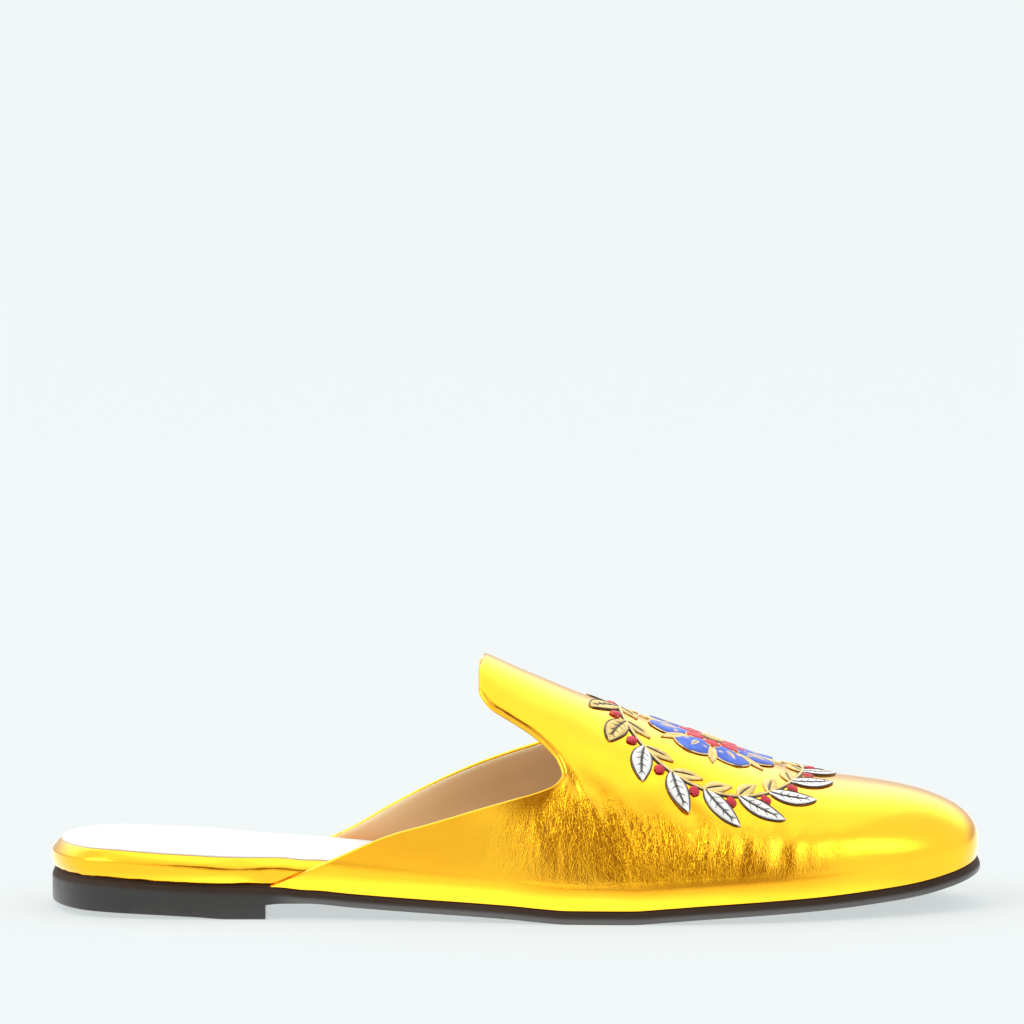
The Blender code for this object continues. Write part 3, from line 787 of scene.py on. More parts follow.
def upper_pieces():
    near = np.array([0, 0.1, 0.2, 0.32, 0.45, 0.6, 0.78, 0.95, 1.08, 1.2, 1.32, 1.45, 1.65, 1.95, 2.35, 2.9, 3.6, 4.5])
    angles = girth_grid(208)
    grid, edge = sheet_rows(angles, near, 0.0, 122, 62)
    rows, cols = grid.shape[:2]
    normal = vertex_normals(grid)
    gap = distance_to_line(grid, edge)
    gap[0] = 0.0
    x, above = grid[..., 0], grid[..., 2] - feather(grid[..., 0])
    angle = np.abs(np.broadcast_to(angles, (rows, cols)))

    # Rolled edge, pressed line and creases.
    r = EDGE_THICK / 2
    near_edge = np.clip(1 - gap / EDGE_ROUND, 0, 1)
    roll = r * (1 - np.sqrt(np.maximum(1 - near_edge**2, 0)))
    tongue_side = 1 - ease((angle - 46.0) / 8.0)
    press = tongue_side * ease((angle - 26.5) / 5.0)
    pressed = PRESS_DEEP * press * np.exp(-(((gap - PRESS_AT) / 0.32) ** 2))
    puff = 0.05 * press * np.exp(-(((gap - 2.3) / 0.9) ** 2))
    creases = crease_depth(grid) * ease((gap - 0.6) / 2.0)
    uneven = 0.13 * smooth_noise(x / 7.0, grid[..., 1] / 8.0 + above / 6.0, 11) * ease((above - 8.0) / 8.0)
    uneven = uneven * ease((gap - 2.0) / 8.0)
    depth = roll + pressed - puff + creases - uneven
    outer = grid - normal * depth[..., None]
    back = LEATHER + (EDGE_THICK - roll - LEATHER) * (1 - ease((gap - FOLD) / 0.22))
    inner = grid - normal * (back + creases - uneven)[..., None]
    # At the sole the sheet is cut level.
    level = normal * [1, 1, 0]
    level /= np.maximum(np.linalg.norm(level, axis=-1, keepdims=True), 1e-9)
    for part in (np.s_[:, 0], np.s_[:, -1], np.s_[-1]):
        inner[part] = outer[part] - level[part] * np.maximum(back[part], 0.05)[..., None]
    points, faces = two_faces(outer, inner)

    # Where the foil is crackled: over the side below the notch, not on the lasted edge or toe.
    top = np.interp(x, [112, 119, 136, 143, 152, 165, 180, 195, 215], [18, 22, 29, 40, 34, 30, 26, 24, 19])
    length = np.interp(x, [100, 112, 124, 134, 200, 214, 232], [0.0, 0.10, 0.55, 1.0, 1.0, 0.45, 0.04])
    crackle = length * ease((above - 5.5) / 3.0) * (1 - ease((above - top + 6.0) / 8.0))
    crackle = np.maximum(crackle, 0.04 * ease((above - 6.0) / 4.0))
    crackle = crackle * ease((gap - 0.8) / 1.4)
    # Painted shade for the gold's colour: along the pressed line by the tongue's edge, and in the pinch right of the
    # notch's vertex.
    painted_crease_shade = press * np.exp(-(((gap - PRESS_AT) / 0.40) ** 2))
    painted_pinch_shade = np.exp(-(((x - 143.6 + 0.35 * (above - 35.5)) / 1.2) ** 2) - ((above - 35.5) / 3.4) ** 2)
    painted_crease_shade = np.clip(painted_crease_shade + 0.9 * painted_pinch_shade, 0, 1)
    # Stroke chart: across the strokes and along them; their lean changes along the side.
    lean = np.interp(x, [112, 124, 141, 159, 176, 190, 206, 225], [-0.20, -0.22, 0.0, 0.26, 0.0, -0.20, 0.0, 0.0])
    chart = np.stack([x - lean * (34.0 - above), above + 40.0 * (grid[..., 1] > 0)], -1)
    second = lambda a: np.concatenate([a.reshape(rows * cols, -1), a[1:].reshape((rows - 1) * cols, -1)])
    add_piece(
        "upper_leather",
        points,
        faces,
        gold,
        "upper",
        {"crackle": second(crackle)[:, 0], "press": second(painted_crease_shade)[:, 0]},
        {"strokes": second(chart)},
        sharp=50,
    )

    # Lining: from just under the fold to the sole.
    near = np.array([0, 0.15, 0.35, 0.6, 0.9, 1.4, 2.1, 3.0, 4.2])
    angles = girth_grid(120)
    grid, edge = sheet_rows(angles, near, FOLD + 0.05, 74, 34)
    rows, cols = grid.shape[:2]
    normal = vertex_normals(grid)
    cut = distance_to_line(grid, grid[0])
    cut[0] = 0.0
    x, above = grid[..., 0], grid[..., 2] - feather(grid[..., 0])
    creases = 0.6 * crease_depth(grid) * ease(cut / 3.0)
    uneven = 0.13 * smooth_noise(x / 7.0, grid[..., 1] / 8.0 + above / 6.0, 11) * ease((above - 8.0) / 8.0)
    uneven = uneven * ease(cut / 8.0)
    half = (WALL - LEATHER - 0.06) / 2
    middle = LEATHER + 0.06 + half
    round_off = half * np.sqrt(np.clip(1 - (1 - cut / 0.3) ** 2, 0, 1)) * (cut < 0.3) + half * (cut >= 0.3)
    outer = grid - normal * (middle - round_off + creases - uneven)[..., None]
    inner = grid - normal * (middle + round_off + creases - uneven)[..., None]
    points, faces = two_faces(outer, inner)
    # Painted highlight on the lining's colour, within about a millimetre of its cut edge.
    pale = np.exp(-((cut / 1.0) ** 2))
    # A darker slanting band along the top of each quarter, and the depth of the toe.
    shade = 0.30 * np.exp(-(((cut - 6.5) / 4.5) ** 2)) * (np.abs(angles) > 40) + 0.15 * ease((x - 150) / 30)
    second = lambda a: np.concatenate([a.reshape(rows * cols), a[1:].reshape((rows - 1) * cols)])
    add_piece(
        "upper_lining",
        points,
        faces,
        lining,
        None,
        {"edge": second(pale), "shade": second(np.clip(shade, 0, 0.8))},
        sharp=50,
    )


upper_pieces()


# ---- slabs: footbed, sock, outsole and heel ----------------------------------------------------
def rail_points(turns, side, inset):
    """Points of the outline moved in by inset, square to the outline."""

    def at(t):
        x = LENGTH * (1 - np.cos(t)) / 2
        width = np.where((t > 0) & (t < np.pi), _half[side](t), 0.0)
        return np.stack([x, centre(x) + side * width], -1)

    low, high = at(np.maximum(turns - 1e-4, 0.0)), at(np.minimum(turns + 1e-4, np.pi))
    along = high - low
    inward = np.stack([along[:, 1], -along[:, 0]], -1) * side
    inward[turns < 1e-6] = (1.0, 0.0)
    inward[turns > np.pi - 1e-6] = (-1.0, 0.0)
    inward /= np.linalg.norm(inward, axis=1, keepdims=True)
    return at(turns) + inward * inset[:, None]


def stations(edges, step):
    marks = turn_of(edges)
    found = [marks[0]]
    for a, b in zip(marks[:-1], marks[1:]):
        pieces = max(1, int(round((b - a) / step)))
        found += list(a + (b - a) * np.arange(1, pieces + 1) / pieces)
    return np.array(found)


def slab(turns, rings, across, sink=None):
    """A piece that fills the outline. rings: (inset, height) as functions of x, from the middle of
    the underside round the edge to the middle of the top. Gives points, faces, the ring number of
    each point (across the top and bottom it counts on), and its grid."""
    x0 = LENGTH * (1 - np.cos(turns)) / 2
    lateral, medial = [], []
    for inset, height in rings:
        for side, line in ((-1, lateral), (1, medial)):
            flat = rail_points(turns, side, inset(x0) + 0 * x0)
            line.append(np.column_stack([flat, height(x0) + 0 * x0]))
    lateral, medial = np.array(lateral), np.array(medial)
    steps = np.linspace(0, 1, across + 1)[1:-1, None, None]
    bottom = medial[0] + (lateral[0] - medial[0]) * steps
    top = lateral[-1] + (medial[-1] - lateral[-1]) * steps
    bottom[..., 2] = rings[0][1](bottom[..., 0])
    top[..., 2] = rings[-1][1](top[..., 0])
    if sink:
        width = (medial[-1, :, 1] - lateral[-1, :, 1])[None]
        top[..., 2] -= sink(top[..., 0], width, 2 * steps[..., 0] - 1)
    loops = np.concatenate([lateral, top, medial[::-1], bottom]).transpose(1, 0, 2)
    number = np.concatenate(
        [np.arange(len(rings)), np.full(across - 1, len(rings)), np.arange(len(rings))[::-1], np.full(across - 1, -1)]
    )
    count, ring = loops.shape[:2]
    a = np.arange(count * ring).reshape(count, ring)
    b = np.roll(a, -1, axis=1)
    faces = [tuple(q) for q in np.stack([a[:-1], b[:-1], b[1:], a[1:]], -1).reshape(-1, 4)]
    side = len(rings)

    def cap(i, flip):
        low = [a[i, 0], *a[i, 2 * side + across - 1 :][::-1], a[i, 2 * side + across - 2]]
        high = [a[i, side - 1], *a[i, side : side + across - 1], a[i, side + across - 1]]
        made = [(low[k], low[k + 1], high[k + 1], high[k]) for k in range(across)]
        made += [tuple(a[i, :side]), tuple(a[i, side + across - 1 : 2 * side + across - 1])]
        return [tuple(f[::-1]) for f in made] if flip else made

    if turns[-1] < np.pi - 1e-6:
        faces += cap(count - 1, False)
    return loops.reshape(-1, 3), faces, np.broadcast_to(number, (count, ring)).reshape(-1), a


def clean_solid(made):
    """Weld the points that meet at the tips and turn every face outwards."""
    import bmesh

    work = bmesh.new()
    work.from_mesh(made.data)
    bmesh.ops.remove_doubles(work, verts=work.verts, dist=2e-6)
    bmesh.ops.recalc_face_normals(work, faces=work.faces)
    work.to_mesh(made.data)
    work.free()
    return made


inside = FEATHER_IN + WALL + GAP


def bed_inset(x, more, tuck=0.0):
    front = ease((x - BLEND[0]) / (BLEND[1] - BLEND[0]))
    toe = ease((x - 215.0) / 40.0)
    return (BAND_IN + tuck) * (1 - front) + (inside + 0.25 * toe) * front + more


def bed_height(share):
    return lambda x: feather(x) + share * _footbed(x)


def bed_dish(x, width, across):
    return DISH * np.minimum(1.0, width / 45.0) ** 2 * (1 - across**2)


# Side of the wrapped footbed: how far in and how high, from its bottom edge to its top.
WRAP_SIDE = (
    "inset tuck  share",
    (4.5,  1.30, 0.00),
    (0.55, 1.30, 0.00),
    (0.20, 1.25, 0.02),
    (0.02, 1.05, 0.07),
    (0.0,  0.66, 0.15),
    (0.0,  0.34, 0.24),
    (0.0,  0.12, 0.34),
    (0.0,  0.02, 0.44),
    (0.0,  0.00, 0.54),
    (0.0,  0.01, 0.60),
    (0.03, 0.02, 0.635),
    (0.20, 0.03, 0.67),
    (0.55, 0.04, 0.725),
    (0.95, 0.05, 0.785),
    (1.35, 0.06, 0.84),
    (1.75, 0.06, 0.89),
    (2.15, 0.06, 0.93),
    (2.6,  0.06, 0.962),
    (3.2,  0.04, 0.985),
    (3.8,  0.02, 0.985),
    (5.5,  0.00, 0.975),
)


def footbed():
    side = columns(WRAP_SIDE)
    rings = [
        (lambda x, a=a, b=b: bed_inset(x, a, b), bed_height(c))
        for a, b, c in zip(side["inset"], side["tuck"], side["share"])
    ]
    turns = stations([0.0, 9.0, 30.0, BLEND[0], BLEND[1], 100.0, 143.0, 200.0, 240.0, LENGTH], 0.0105)
    points, faces, number, index = slab(turns, rings, 6, bed_dish)
    # Small gathers where the wrap bends round the heel, and a slightly wavy line along the side.
    grid = points[index]
    run = np.concatenate([[0.0], np.cumsum(np.linalg.norm(np.diff(grid[:, 8], axis=0), axis=1))])
    for half in (slice(0, len(rings)), slice(len(rings) + 5, 2 * len(rings) + 5)):
        part = grid[:, half]
        out = part - grid[:, [len(rings) + 2]]
        out[..., 2] = 0
        out /= np.maximum(np.linalg.norm(out, axis=-1, keepdims=True), 1e-6)
        rise = (part[..., 2] - feather(part[..., 0])) / _footbed(part[..., 0])
        tight = np.exp(-(((part[..., 0] - 4.0) / 16.0) ** 2))
        seed = 5 if half.start == 0 else 6
        low = np.exp(-(((rise - 0.12) / 0.22) ** 2))
        wave = smooth_noise(run[:, None] / 0.42, rise * 2.0, seed, 2) * 0.10 * tight * low
        line = np.exp(-(((rise - 0.635) / 0.05) ** 2)) * (0.35 + 0.65 * ease((part[..., 0] - 34.0) / 14.0))
        wave = wave + line * 0.05 * smooth_noise(run[:, None] / 0.45, rise, seed + 7, 2)
        edge = np.exp(-((rise / 0.10) ** 2)) * 0.14 * smooth_noise(run[:, None] / 0.7, rise * 0.5, seed + 3, 3)
        grid[:, half] = part + out * (wave + edge)[..., None]
        grid[:, half, 2] += (np.exp(-((rise / 0.06) ** 2)) * 0.12 * smooth_noise(run[:, None] / 0.9, 0 * rise, seed + 5, 3))
    points = np.empty_like(points)
    points[index.reshape(-1)] = grid.reshape(-1, 3)
    made = add_piece("footbed_wrap", points, faces, wrap, "insole", sharp=50)
    clean_solid(made)

    # Sock: a thin pale leather over the footbed, rounded at its edge.
    def sock_in(more):
        return lambda x: bed_inset(x, more)

    def on_bed(up):
        return lambda x: feather(x) + _footbed(x) * 0.995 + up

    rings = [
        (sock_in(6.0), on_bed(-0.55)),
        (sock_in(2.95), on_bed(-0.30)),
        (sock_in(2.82), on_bed(-0.08)),
        (sock_in(2.86), on_bed(0.14)),
        (sock_in(3.05), on_bed(0.28)),
        (sock_in(3.45), on_bed(0.35)),
        (sock_in(4.4), on_bed(0.34)),
        (sock_in(6.0), on_bed(0.28)),
    ]
    turns = stations([0.0, 9.0, 30.0, 60.0, 143.0, 240.0, LENGTH], 0.016)
    points, faces, number, index = slab(turns, rings, 16, bed_dish)
    made = add_piece("footbed_sock", points, faces, sock, sharp=60)
    clean_solid(made)
    # Its underside lies on the wrapped board.
    return made


footbed()


# Edge of the outsole: how far in, how high, and how much painted shade with a brownish painted reflection of the gold
# it gets. Its upper half slopes in under the leather.
SOLE_EDGE = (
    "inset share brown",
    (6.0,  0.00, 0.0),
    (1.2,  0.00, 0.0),
    (0.55, 0.00, 0.0),
    (0.22, 0.04, 0.0),
    (0.06, 0.12, 0.0),
    (0.0,  0.24, 0.0),
    (0.0,  0.40, 0.04),
    (0.03, 0.50, 0.40),
    (0.12, 0.60, 0.90),
    (0.26, 0.70, 1.0),
    (0.42, 0.82, 1.0),
    (0.60, 0.93, 1.0),
    (0.85, 1.00, 1.0),
    (1.6,  1.00, 1.0),
    (4.0,  1.00, 1.0),
)


def sole():
    table = columns(SOLE_EDGE)
    heel_zone = lambda x: 1 - ease((x - (BREAST + 0.2)) / 1.5)
    rings = []
    for a, b in zip(table["inset"], table["share"]):

        def inset(x, a=a, b=b):
            # Over the heel block the lower edge isn't broken, so the two run flush.
            return a * (1 - heel_zone(x)) + (a if b > 0.45 or a > 1 else 0.02) * heel_zone(x)

        def height(x, b=b):
            # The lower part is as thick as elsewhere; over the heel it only grows downwards.
            top = np.minimum(_thick(x), 3.5)
            share = _under(x) + _thick(x) - top + b * top
            return np.where(b == 0, _under(x), share)

        rings.append((inset, height))
    turns = stations([0.0, 9.0, 30.0, BREAST, 62.0, 100.0, 143.0, 160.0, 200.0, 240.0, LENGTH], 0.0105)
    points, faces, number, index = slab(turns, rings, 8)
    # Painted shade with a brownish painted reflection of the gold over the edge's upper part.
    tint = np.concatenate([table["brown"], [1.0]])
    brown = np.where(number < 0, 0.0, tint[np.clip(number, 0, len(tint) - 1)])
    # Painted reflection of the bright floor: lighter grey over the lower part of the edge, away from the heel block.
    painted_floor_reflection = np.array([0.0, 0.4, 0.8, 1.0, 1.0, 1.0, 0.7, 0.25] + [0.0] * 8)
    pale = np.where(number < 0, 0.0, painted_floor_reflection[np.clip(number, 0, 15)]) * ease((points[:, 0] - 61.0) / 8.0)
    marks = {"brown": brown, "pale": pale}
    made = add_piece("outsole_black", points, faces, sole_black, "outsole", marks, sharp=50)
    clean_solid(made)

    # Heel block, flush with the sole above it.
    under = lambda x: _under(x) - 0.02
    rings = [
        (lambda x: 6.0, _tread),
        (lambda x: 0.75, _tread),
        (lambda x: 0.35, lambda x: _tread(x) + 0.06),
        (lambda x: 0.12, lambda x: _tread(x) + 0.25),
        (lambda x: 0.04, lambda x: _tread(x) + 0.6),
        (lambda x: 0.03, lambda x: _tread(x) + 1.4),
        (lambda x: 0.02, lambda x: under(x) - 0.5),
        (lambda x: 0.02, lambda x: under(x)),
        (lambda x: 6.0, under),
    ]
    turns = stations([0.0, 6.0, 20.0, 40.0, 50.0, 59.7, 60.0], 0.0105)
    points, faces, number, index = slab(turns, rings, 8)
    made = add_piece("heel_block", points, faces, heel_black, "heel", sharp=35)
    clean_solid(made)

    # The dark thread-thin line in the joint, all the way round, coloured with the same painted shade as the sole's
    # upper edge.
    rings = [
        (lambda x: 4.0, lambda x: seat(x) - 0.05),
        (lambda x: 1.15, lambda x: seat(x) - 0.05),
        (lambda x: 1.0, lambda x: seat(x) + 0.1),
        (lambda x: 1.15, lambda x: seat(x) + 0.42),
        (lambda x: 4.0, lambda x: seat(x) + 0.42),
    ]
    turns = stations([0.0, 9.0, 30.0, 60.0, 100.0, 143.0, 200.0, 240.0, LENGTH], 0.02)
    points, faces, number, index = slab(turns, rings, 2)
    made = add_piece("joint_seam", points, faces, seam_dark, None, {"brown": np.ones(len(points))}, sharp=50)
    clean_solid(made)


sole()


# ---- sewn wreath -------------------------------------------------------------------------------
class Vamp:
    """Chart of the vamp: a along the shoe, b across it from the ridge, both in mm."""

    def __init__(self):
        self.a = np.arange(140.0, 232.1, 1.0)
        self.b = np.arange(-60.0, 60.1, 0.5)
        share = np.linspace(-0.985, 0.985, 395)
        table = []
        for a in self.a:
            line = skin(np.full_like(share, a), share)
            run = np.concatenate([[0], np.cumsum(np.linalg.norm(np.diff(line, axis=0), axis=1))])
            run -= np.interp(0.0, share, run)
            table.append(np.interp(self.b, run, share))
        self.share = np.array(table)

    def find(self, a, b):
        i = np.clip((a - self.a[0]) / 1.0, 0, len(self.a) - 1.001)
        j = np.clip((b - self.b[0]) / 0.5, 0, len(self.b) - 1.001)
        i0, j0 = i.astype(int), j.astype(int)
        u, v = i - i0, j - j0
        s = self.share
        return (
            s[i0, j0] * (1 - u) * (1 - v)
            + s[i0 + 1, j0] * u * (1 - v)
            + s[i0, j0 + 1] * (1 - u) * v
            + s[i0 + 1, j0 + 1] * u * v
        )

    def at(self, a, b, up):
        a, b, up = np.broadcast_arrays(np.asarray(a, float), np.asarray(b, float), np.asarray(up, float))
        share = self.find(a, b)
        point = skin(a, share)
        dx = skin(a + 0.4, share) - skin(a - 0.4, share)
        ds = skin(a, np.clip(share + 0.01, -1, 1)) - skin(a, np.clip(share - 0.01, -1, 1))
        normal = np.cross(dx, ds)
        normal /= np.linalg.norm(normal, axis=-1, keepdims=True)
        return point + normal * up[..., None], normal


vamp = Vamp()


class Threads:
    """Threads of one colour, joined in one mesh."""

    def __init__(self, name, finish):
        self.name, self.finish = name, finish
        self.points, self.faces, self.count = [], [], 0

    def lay(self, a, b, up, wide=THREAD, tall=0.30):
        """One thread along chart points, lying on the leather at the heights `up`."""
        p, n = vamp.at(a, b, up)
        along = np.gradient(p, axis=0)
        along /= np.maximum(np.linalg.norm(along, axis=1, keepdims=True), 1e-9)
        side = np.cross(n, along)
        side /= np.maximum(np.linalg.norm(side, axis=1, keepdims=True), 1e-9)
        taper = np.ones(len(p))
        taper[[0, -1]] = 0.55
        ring = ((-0.5, -0.25), (-0.38, 0.55), (0.0, 1.0), (0.38, 0.55), (0.5, -0.25))
        loops = np.stack([p + side * (w * wide * taper)[:, None] + n * (h * tall * taper)[:, None] for w, h in ring], 1)
        k, m = loops.shape[:2]
        index = np.arange(k * m).reshape(k, m) + self.count
        nxt = np.roll(index, -1, axis=1)
        self.faces += [tuple(q) for q in np.stack([index[:-1], index[1:], nxt[1:], nxt[:-1]], -1).reshape(-1, 4)]
        self.faces += [tuple(index[0]), tuple(index[-1][::-1])]
        self.points.append(loops.reshape(-1, 3))
        self.count += k * m

    def done(self):
        if not self.points:
            return None
        made = add_piece(self.name, np.concatenate(self.points), self.faces, self.finish)
        return made


def satin(threads, ends_a, ends_b, base, dome, steps=5, wide=THREAD):
    """Satin fill: a stitch from each point of one edge to the same point of the other."""
    for (a0, b0), (a1, b1) in zip(ends_a, ends_b):
        t = np.linspace(0, 1, steps)
        span = np.hypot(a1 - a0, b1 - b0)
        if span < 0.35:
            continue
        lift = dome * min(1.0, span / 4.0) * np.sqrt(np.clip(1 - (2 * t - 1) ** 2, 0, 1))
        threads.lay(a0 + (a1 - a0) * t, b0 + (b1 - b0) * t, base + lift, wide)


def leaf(base_at, heading, length, width, fill, line=None, bend=0.0, base=0.20, dome=0.30, rib=None, veins=0):
    """A leaf with two rows of slanting satin stitches on a midrib; line sews its outline."""
    count = max(4, int(length / STITCH))
    t = np.linspace(0.0, 1.0, count + 1)
    turn = heading + bend * (t - 0.5)
    step = length / count
    a = base_at[0] + np.concatenate([[0], np.cumsum(np.cos(turn[:-1]) * step)])
    b = base_at[1] + np.concatenate([[0], np.cumsum(np.sin(turn[:-1]) * step)])
    half = width / 2 * np.sin(np.pi * t**0.85) ** 0.8
    edges = {}
    for side in (-1, 1):
        ea = a - side * np.sin(turn) * half
        eb = b + side * np.cos(turn) * half
        ahead = np.clip(np.arange(count + 1) + int(1.1 / STITCH), 0, count)
        edges[side] = (ea, eb)
        satin(
            fill,
            list(zip(a[:-1], b[:-1])),
            list(zip(ea[ahead][:-1], eb[ahead][:-1])),
            base,
            dome,
            4,
        )
    if line is not None:
        for side in (-1, 1):
            ea, eb = edges[side]
            pick = np.arange(0, count + 1, 2)
            line.lay(ea[pick], eb[pick], np.full(len(pick), base + 0.12), 0.42, 0.26)
    if rib is not None:
        pick = np.arange(0, int(count * 0.8), 2)
        rib.lay(a[pick], b[pick], np.full(len(pick), base + 0.28), 0.40, 0.24)
        for k in range(veins):
            at = int(count * (0.22 + 0.52 * k / max(1, veins - 1)))
            to = min(count, at + int(2.0 / STITCH))
            for side in (-1, 1):
                ea, eb = edges[side]
                run = np.linspace(0.0, 0.72, 4)
                va, vb = a[at] + (ea[to] - a[at]) * run, b[at] + (eb[to] - b[at]) * run
                rib.lay(va, vb, base + 0.26 + 0.25 * dome * np.sin(np.pi * run), 0.30, 0.20)


def petal(centre_at, angle, near, far, width, fill, base=0.22, dome=0.75, line=None):
    """A petal filled straight across, widest towards its tip."""
    count = max(4, int((far - near) / STITCH))
    t = np.linspace(0.02, 0.985, count)
    half = width / 2 * np.sqrt(np.clip(1 - ((t - 0.62) / 0.64) ** 2, 0, 1)) * np.minimum(1.0, np.sqrt(t / 0.5 + 0.05))
    half = np.where(t > 0.62, width / 2 * np.sqrt(np.clip(1 - ((t - 0.62) / 0.38) ** 2, 0, 1)), half)
    r = near + (far - near) * t
    ca, cb = np.cos(angle), np.sin(angle)
    one = [(centre_at[0] + ri * ca - h * cb, centre_at[1] + ri * cb + h * ca) for ri, h in zip(r, half)]
    two = [(centre_at[0] + ri * ca + h * cb, centre_at[1] + ri * cb - h * ca) for ri, h in zip(r, half)]
    satin(fill, one, two, base, dome, 5)
    if line is not None:
        ring = np.array(one + two[::-1])
        line.lay(ring[:, 0], ring[:, 1], np.full(len(ring), base + 0.10), 0.38, 0.24)


def dot(at, radius, fill, base=0.25, dome=0.7, slant=0.0):
    count = max(4, int(2 * radius / STITCH))
    q = np.linspace(-0.93, 0.93, count) * radius
    half = np.sqrt(radius**2 - q**2)
    c, s = np.cos(slant), np.sin(slant)
    one = [(at[0] + qi * c - h * s, at[1] + qi * s + h * c) for qi, h in zip(q, half)]
    two = [(at[0] + qi * c + h * s, at[1] + qi * s - h * c) for qi, h in zip(q, half)]
    satin(fill, one, two, base, dome, 5)


def wreath():
    blue = Threads("wreath_blue", thread_finish("thread_blue", (0.060, 0.150, 0.64), (0.035, 0.085, 0.42)))
    red = Threads("wreath_red", thread_finish("thread_red", (0.62, 0.020, 0.050), (0.40, 0.010, 0.030)))
    white = Threads("wreath_white", thread_finish("thread_white", (0.86, 0.86, 0.84), (0.70, 0.70, 0.68)))
    cream = Threads("wreath_gold", thread_finish("thread_gold", (0.80, 0.62, 0.22), (0.58, 0.40, 0.12)))
    black = Threads("wreath_black", thread_finish("thread_black", (0.016, 0.015, 0.015), (0.03, 0.03, 0.03)))
    middle = (WREATH_AT, 0.0)

    def on_ring(angle, grow=0.0):
        return (
            WREATH_AT + (WREATH_ALONG + grow) * np.cos(angle),
            (WREATH_ACROSS + grow) * np.sin(angle),
        )

    # Stem all the way round.
    turn = np.linspace(0, 2 * np.pi, 150)
    a, b = on_ring(turn)
    cream.lay(a, b, np.full(len(a), 0.30), 0.75, 0.42)
    for shift in (-0.5, 0.5):
        a, b = on_ring(turn, shift)
        black.lay(a, b, np.full(len(a), 0.18), 0.34, 0.22)

    # Leaves that lean out, small ones that lean in, a berry at each fork.
    for k in range(WREATH_LEAVES):
        angle = 2 * np.pi * (k + 0.5) / WREATH_LEAVES
        at = on_ring(angle)
        ahead = on_ring(angle + 0.02)
        heading = np.arctan2(ahead[1] - at[1], ahead[0] - at[0])
        leaf(at, heading - 0.66, 13.5, 5.8, cream if at[0] < 162.5 else white, black, bend=0.35, rib=black, veins=4)
        leaf(at, heading + 0.58, 8.6, 3.9, cream, None, bend=-0.4, rib=black)
        berry = on_ring(angle - 0.10, 2.3)
        dot(berry, 1.5, red, slant=angle)

    # Rosette: blue petals, cream darts between them, red and cream heart.
    for k in range(8):
        angle = 2 * np.pi * k / 8 + np.pi / 8
        turned = angle + np.pi / 8
        leaf((middle[0] + 9.0 * np.cos(turned), 9.0 * np.sin(turned)), turned, 11.0, 3.2, cream, None, dome=0.35)
        petal(middle, angle, 6.2, 18.4, 10.6, blue, dome=0.45, line=cream)
        ca, sa = np.cos(angle), np.sin(angle)
        leaf((middle[0] + 10.6 * ca, 10.6 * sa), angle, 5.4, 2.0, cream, base=0.66, dome=0.25)
        for side in (-1, 1):
            at = (middle[0] + 12.2 * ca - side * 2.6 * sa, 12.2 * sa + side * 2.6 * ca)
            dot(at, 0.62, cream, base=0.62, dome=0.25)
    for k in range(8):
        angle = 2 * np.pi * k / 8
        petal(middle, angle, 2.6, 9.4, 5.2, red, base=0.50, dome=0.4, line=cream)
    dot(middle, 3.0, cream, base=0.75, dome=0.6)
    ring = np.linspace(0, 2 * np.pi, 40)
    black.lay(middle[0] + 3.1 * np.cos(ring), 3.1 * np.sin(ring), np.full(40, 0.85), 0.36, 0.24)
    for threads in (blue, red, white, cream, black):
        threads.done()


wreath()


# ---- floor, light ------------------------------------------------------------------------------
SHOWN = (0.847, 0.896, 0.896)     # the paper the slipper stands on, as it is seen


def floor():
    mesh = bpy.data.meshes.new("floor")
    size = 14.0
    mesh.from_pydata([(-size, -size, 0), (size, -size, 0), (size, size, 0), (-size, size, 0)], [], [(0, 1, 2, 3)])
    made = bpy.data.objects.new("floor", mesh)
    bpy.context.scene.collection.objects.link(made)
    f = Finish("floor_pale", (0.545, 0.577, 0.577), 0.9, Specular_IOR_Level=0.0)
    place = f.place()
    split = f.node("ShaderNodeSeparateXYZ", {0: place})

    def reach(x0, y0, rx, ry):
        u = f.math("DIVIDE", f.math("SUBTRACT", split.outputs[0], x0), rx)
        v = f.math("DIVIDE", f.math("SUBTRACT", split.outputs[1], y0), ry)
        return f.math("SQRT", f.math("ADD", f.math("MULTIPLY", u, u), f.math("MULTIPLY", v, v)))

    # Painted light: for glossy rays the floor glows, and this glow is what the leather mirrors of the table: bright by
    # the sole, dark beyond its front edge.
    near = f.ramp(reach(0.0, 0.0, 0.165, 0.085), 0.62, 0.90, 2.15, 1.40)
    far = f.ramp(reach(0.09, -0.72, 0.34, 0.67), 0.76, 1.02, 1.0, 0.0)
    tone = f.mix(far, (1.0, 1.0, 1.0), (0.30, 0.21, 0.12))
    path = f.tree.nodes.new("ShaderNodeLightPath")
    glow = f.node("ShaderNodeEmission", {"Color": tone, "Strength": near})
    paper = f.node("ShaderNodeEmission", {"Color": (*SHOWN, 1.0), "Strength": 1.0})
    soft = f.tree.nodes.new("ShaderNodeMixShader")
    soft.inputs[0].default_value = 0.32
    f.tree.links.new(paper.outputs[0], soft.inputs[1])
    f.tree.links.new(f.shader.outputs[0], soft.inputs[2])
    seen = f.tree.nodes.new("ShaderNodeMixShader")
    f.tree.links.new(path.outputs["Is Camera Ray"], seen.inputs[0])
    f.tree.links.new(f.shader.outputs[0], seen.inputs[1])
    f.tree.links.new(soft.outputs[0], seen.inputs[2])
    both = f.tree.nodes.new("ShaderNodeMixShader")
    f.tree.links.new(path.outputs["Is Glossy Ray"], both.inputs[0])
    f.tree.links.new(seen.outputs[0], both.inputs[1])
    f.tree.links.new(glow.outputs[0], both.inputs[2])
    f.tree.links.new(both.outputs[0], f.tree.nodes["Material Output"].inputs["Surface"])
    mesh.materials.append(f.material)


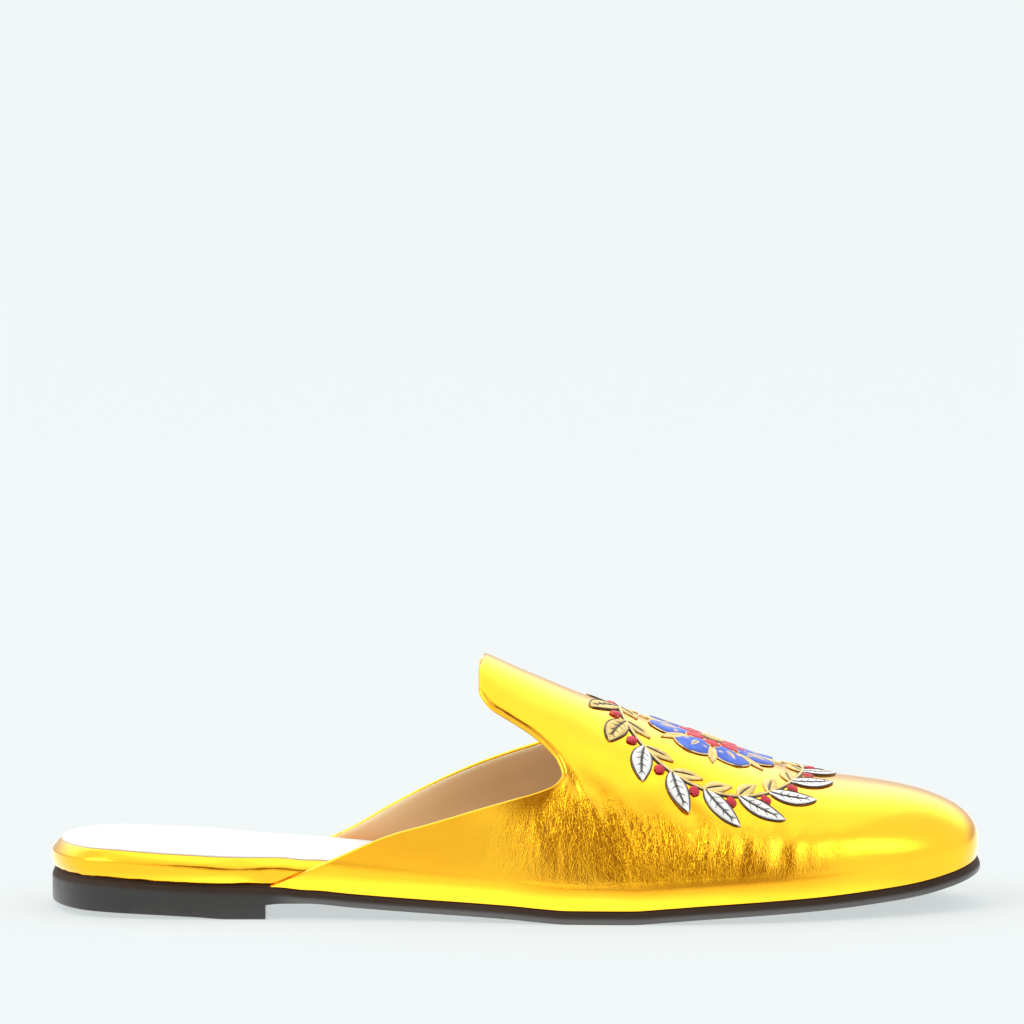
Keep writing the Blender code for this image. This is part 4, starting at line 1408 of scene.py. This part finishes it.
def studio():
    world = bpy.data.worlds.new("studio")
    bpy.context.scene.world = world
    world.use_nodes = True
    tree = world.node_tree
    for node in list(tree.nodes):
        tree.nodes.remove(node)

    def add(kind, **settings):
        made = tree.nodes.new(kind)
        for key, value in settings.items():
            setattr(made, key, value)
        return made

    def plug(value, socket):
        if isinstance(value, bpy.types.NodeSocket):
            tree.links.new(value, socket)
        else:
            socket.default_value = value

    def math(operation, *values):
        made = add("ShaderNodeMath", operation=operation)
        for k, value in enumerate(values):
            plug(value, made.inputs[k])
        return made.outputs[0]

    def ramp(value, low, high, to_low, to_high):
        made = add("ShaderNodeMapRange", interpolation_type="SMOOTHSTEP")
        plug(value, made.inputs["Value"])
        for key, number in (("From Min", low), ("From Max", high), ("To Min", to_low), ("To Max", to_high)):
            made.inputs[key].default_value = number
        return made.outputs["Result"]

    way = add("ShaderNodeTexCoord").outputs["Generated"]
    split = add("ShaderNodeSeparateXYZ")
    plug(way, split.inputs[0])
    x, y, z = split.outputs[:3]
    turn = math("ARCTAN2", x, math("MULTIPLY", y, -1.0))
    rise = math("ARCSINE", z)

    def patch(turn_at, rise_at, wide, tall, inner, outer, slant=0.0):
        """1 inside an oval of the sky, given in degrees, 0 outside it."""
        up = math("SUBTRACT", rise, float(np.radians(rise_at)))
        across = math("SUBTRACT", turn, float(np.radians(turn_at)))
        u = math("DIVIDE", math("MULTIPLY_ADD", up, slant, across), float(np.radians(wide)))
        v = math("DIVIDE", up, float(np.radians(tall)))
        return ramp(math("SQRT", math("ADD", math("MULTIPLY", u, u), math("MULTIPLY", v, v))), inner, outer, 1.0, 0.0)

    # A pale room, brighter behind the shoe, softboxes on the right and on the left, and the dark
    # end of the room straight ahead of the shoe's side.
    behind = math("MULTIPLY", ramp(y, 0.15, 0.75, 0.0, 1.0), ramp(z, 0.12, 0.62, -0.55, 1.15))
    light = math("ADD", 1.28, behind)
    light = math("ADD", light, ramp(z, 0.955, 0.995, 0.0, 0.9))
    light = math("ADD", light, math("MULTIPLY", patch(54.5, 35.0, 10.5, 18.0, 0.10, 1.15, 0.55), 3.8))
    light = math("ADD", light, math("MULTIPLY", patch(-62.0, 38.0, 22.0, 20.0, 0.6, 1.1), 6.0))
    light = math("MULTIPLY", light, ramp(patch(-20.0, 14.0, 16.0, 17.0, 0.2, 1.3), 0.0, 1.0, 1.0, 0.76))
    dark = patch(10.0, 26.0, 21.5, 40.0, 0.70, 1.14, 0.25)
    bright = add("ShaderNodeCombineXYZ")
    for k in range(3):
        plug(light, bright.inputs[k])
    tone = add("ShaderNodeMix", data_type="RGBA")
    plug(dark, tone.inputs[0])
    plug(bright.outputs[0], tone.inputs[6])
    tone.inputs[7].default_value = (0.30, 0.18, 0.08, 1.0)
    shown = add("ShaderNodeBackground")
    shown.inputs["Color"].default_value = (*SHOWN, 1.0)
    lit = add("ShaderNodeBackground")
    plug(tone.outputs[2], lit.inputs["Color"])
    path = add("ShaderNodeLightPath")
    both = add("ShaderNodeMixShader")
    plug(path.outputs["Is Camera Ray"], both.inputs[0])
    plug(lit.outputs[0], both.inputs[1])
    plug(shown.outputs[0], both.inputs[2])
    out = add("ShaderNodeOutputWorld")
    plug(both.outputs[0], out.inputs["Surface"])

    # One wide soft lamp overhead.
    data = bpy.data.lights.new("overhead", "AREA")
    data.shape = "RECTANGLE"
    data.size, data.size_y = 2.4, 2.0
    data.energy = 5.0
    made = bpy.data.objects.new("overhead", data)
    bpy.context.scene.collection.objects.link(made)
    made.location = (0.0, 0.25, 2.2)


floor()
studio()
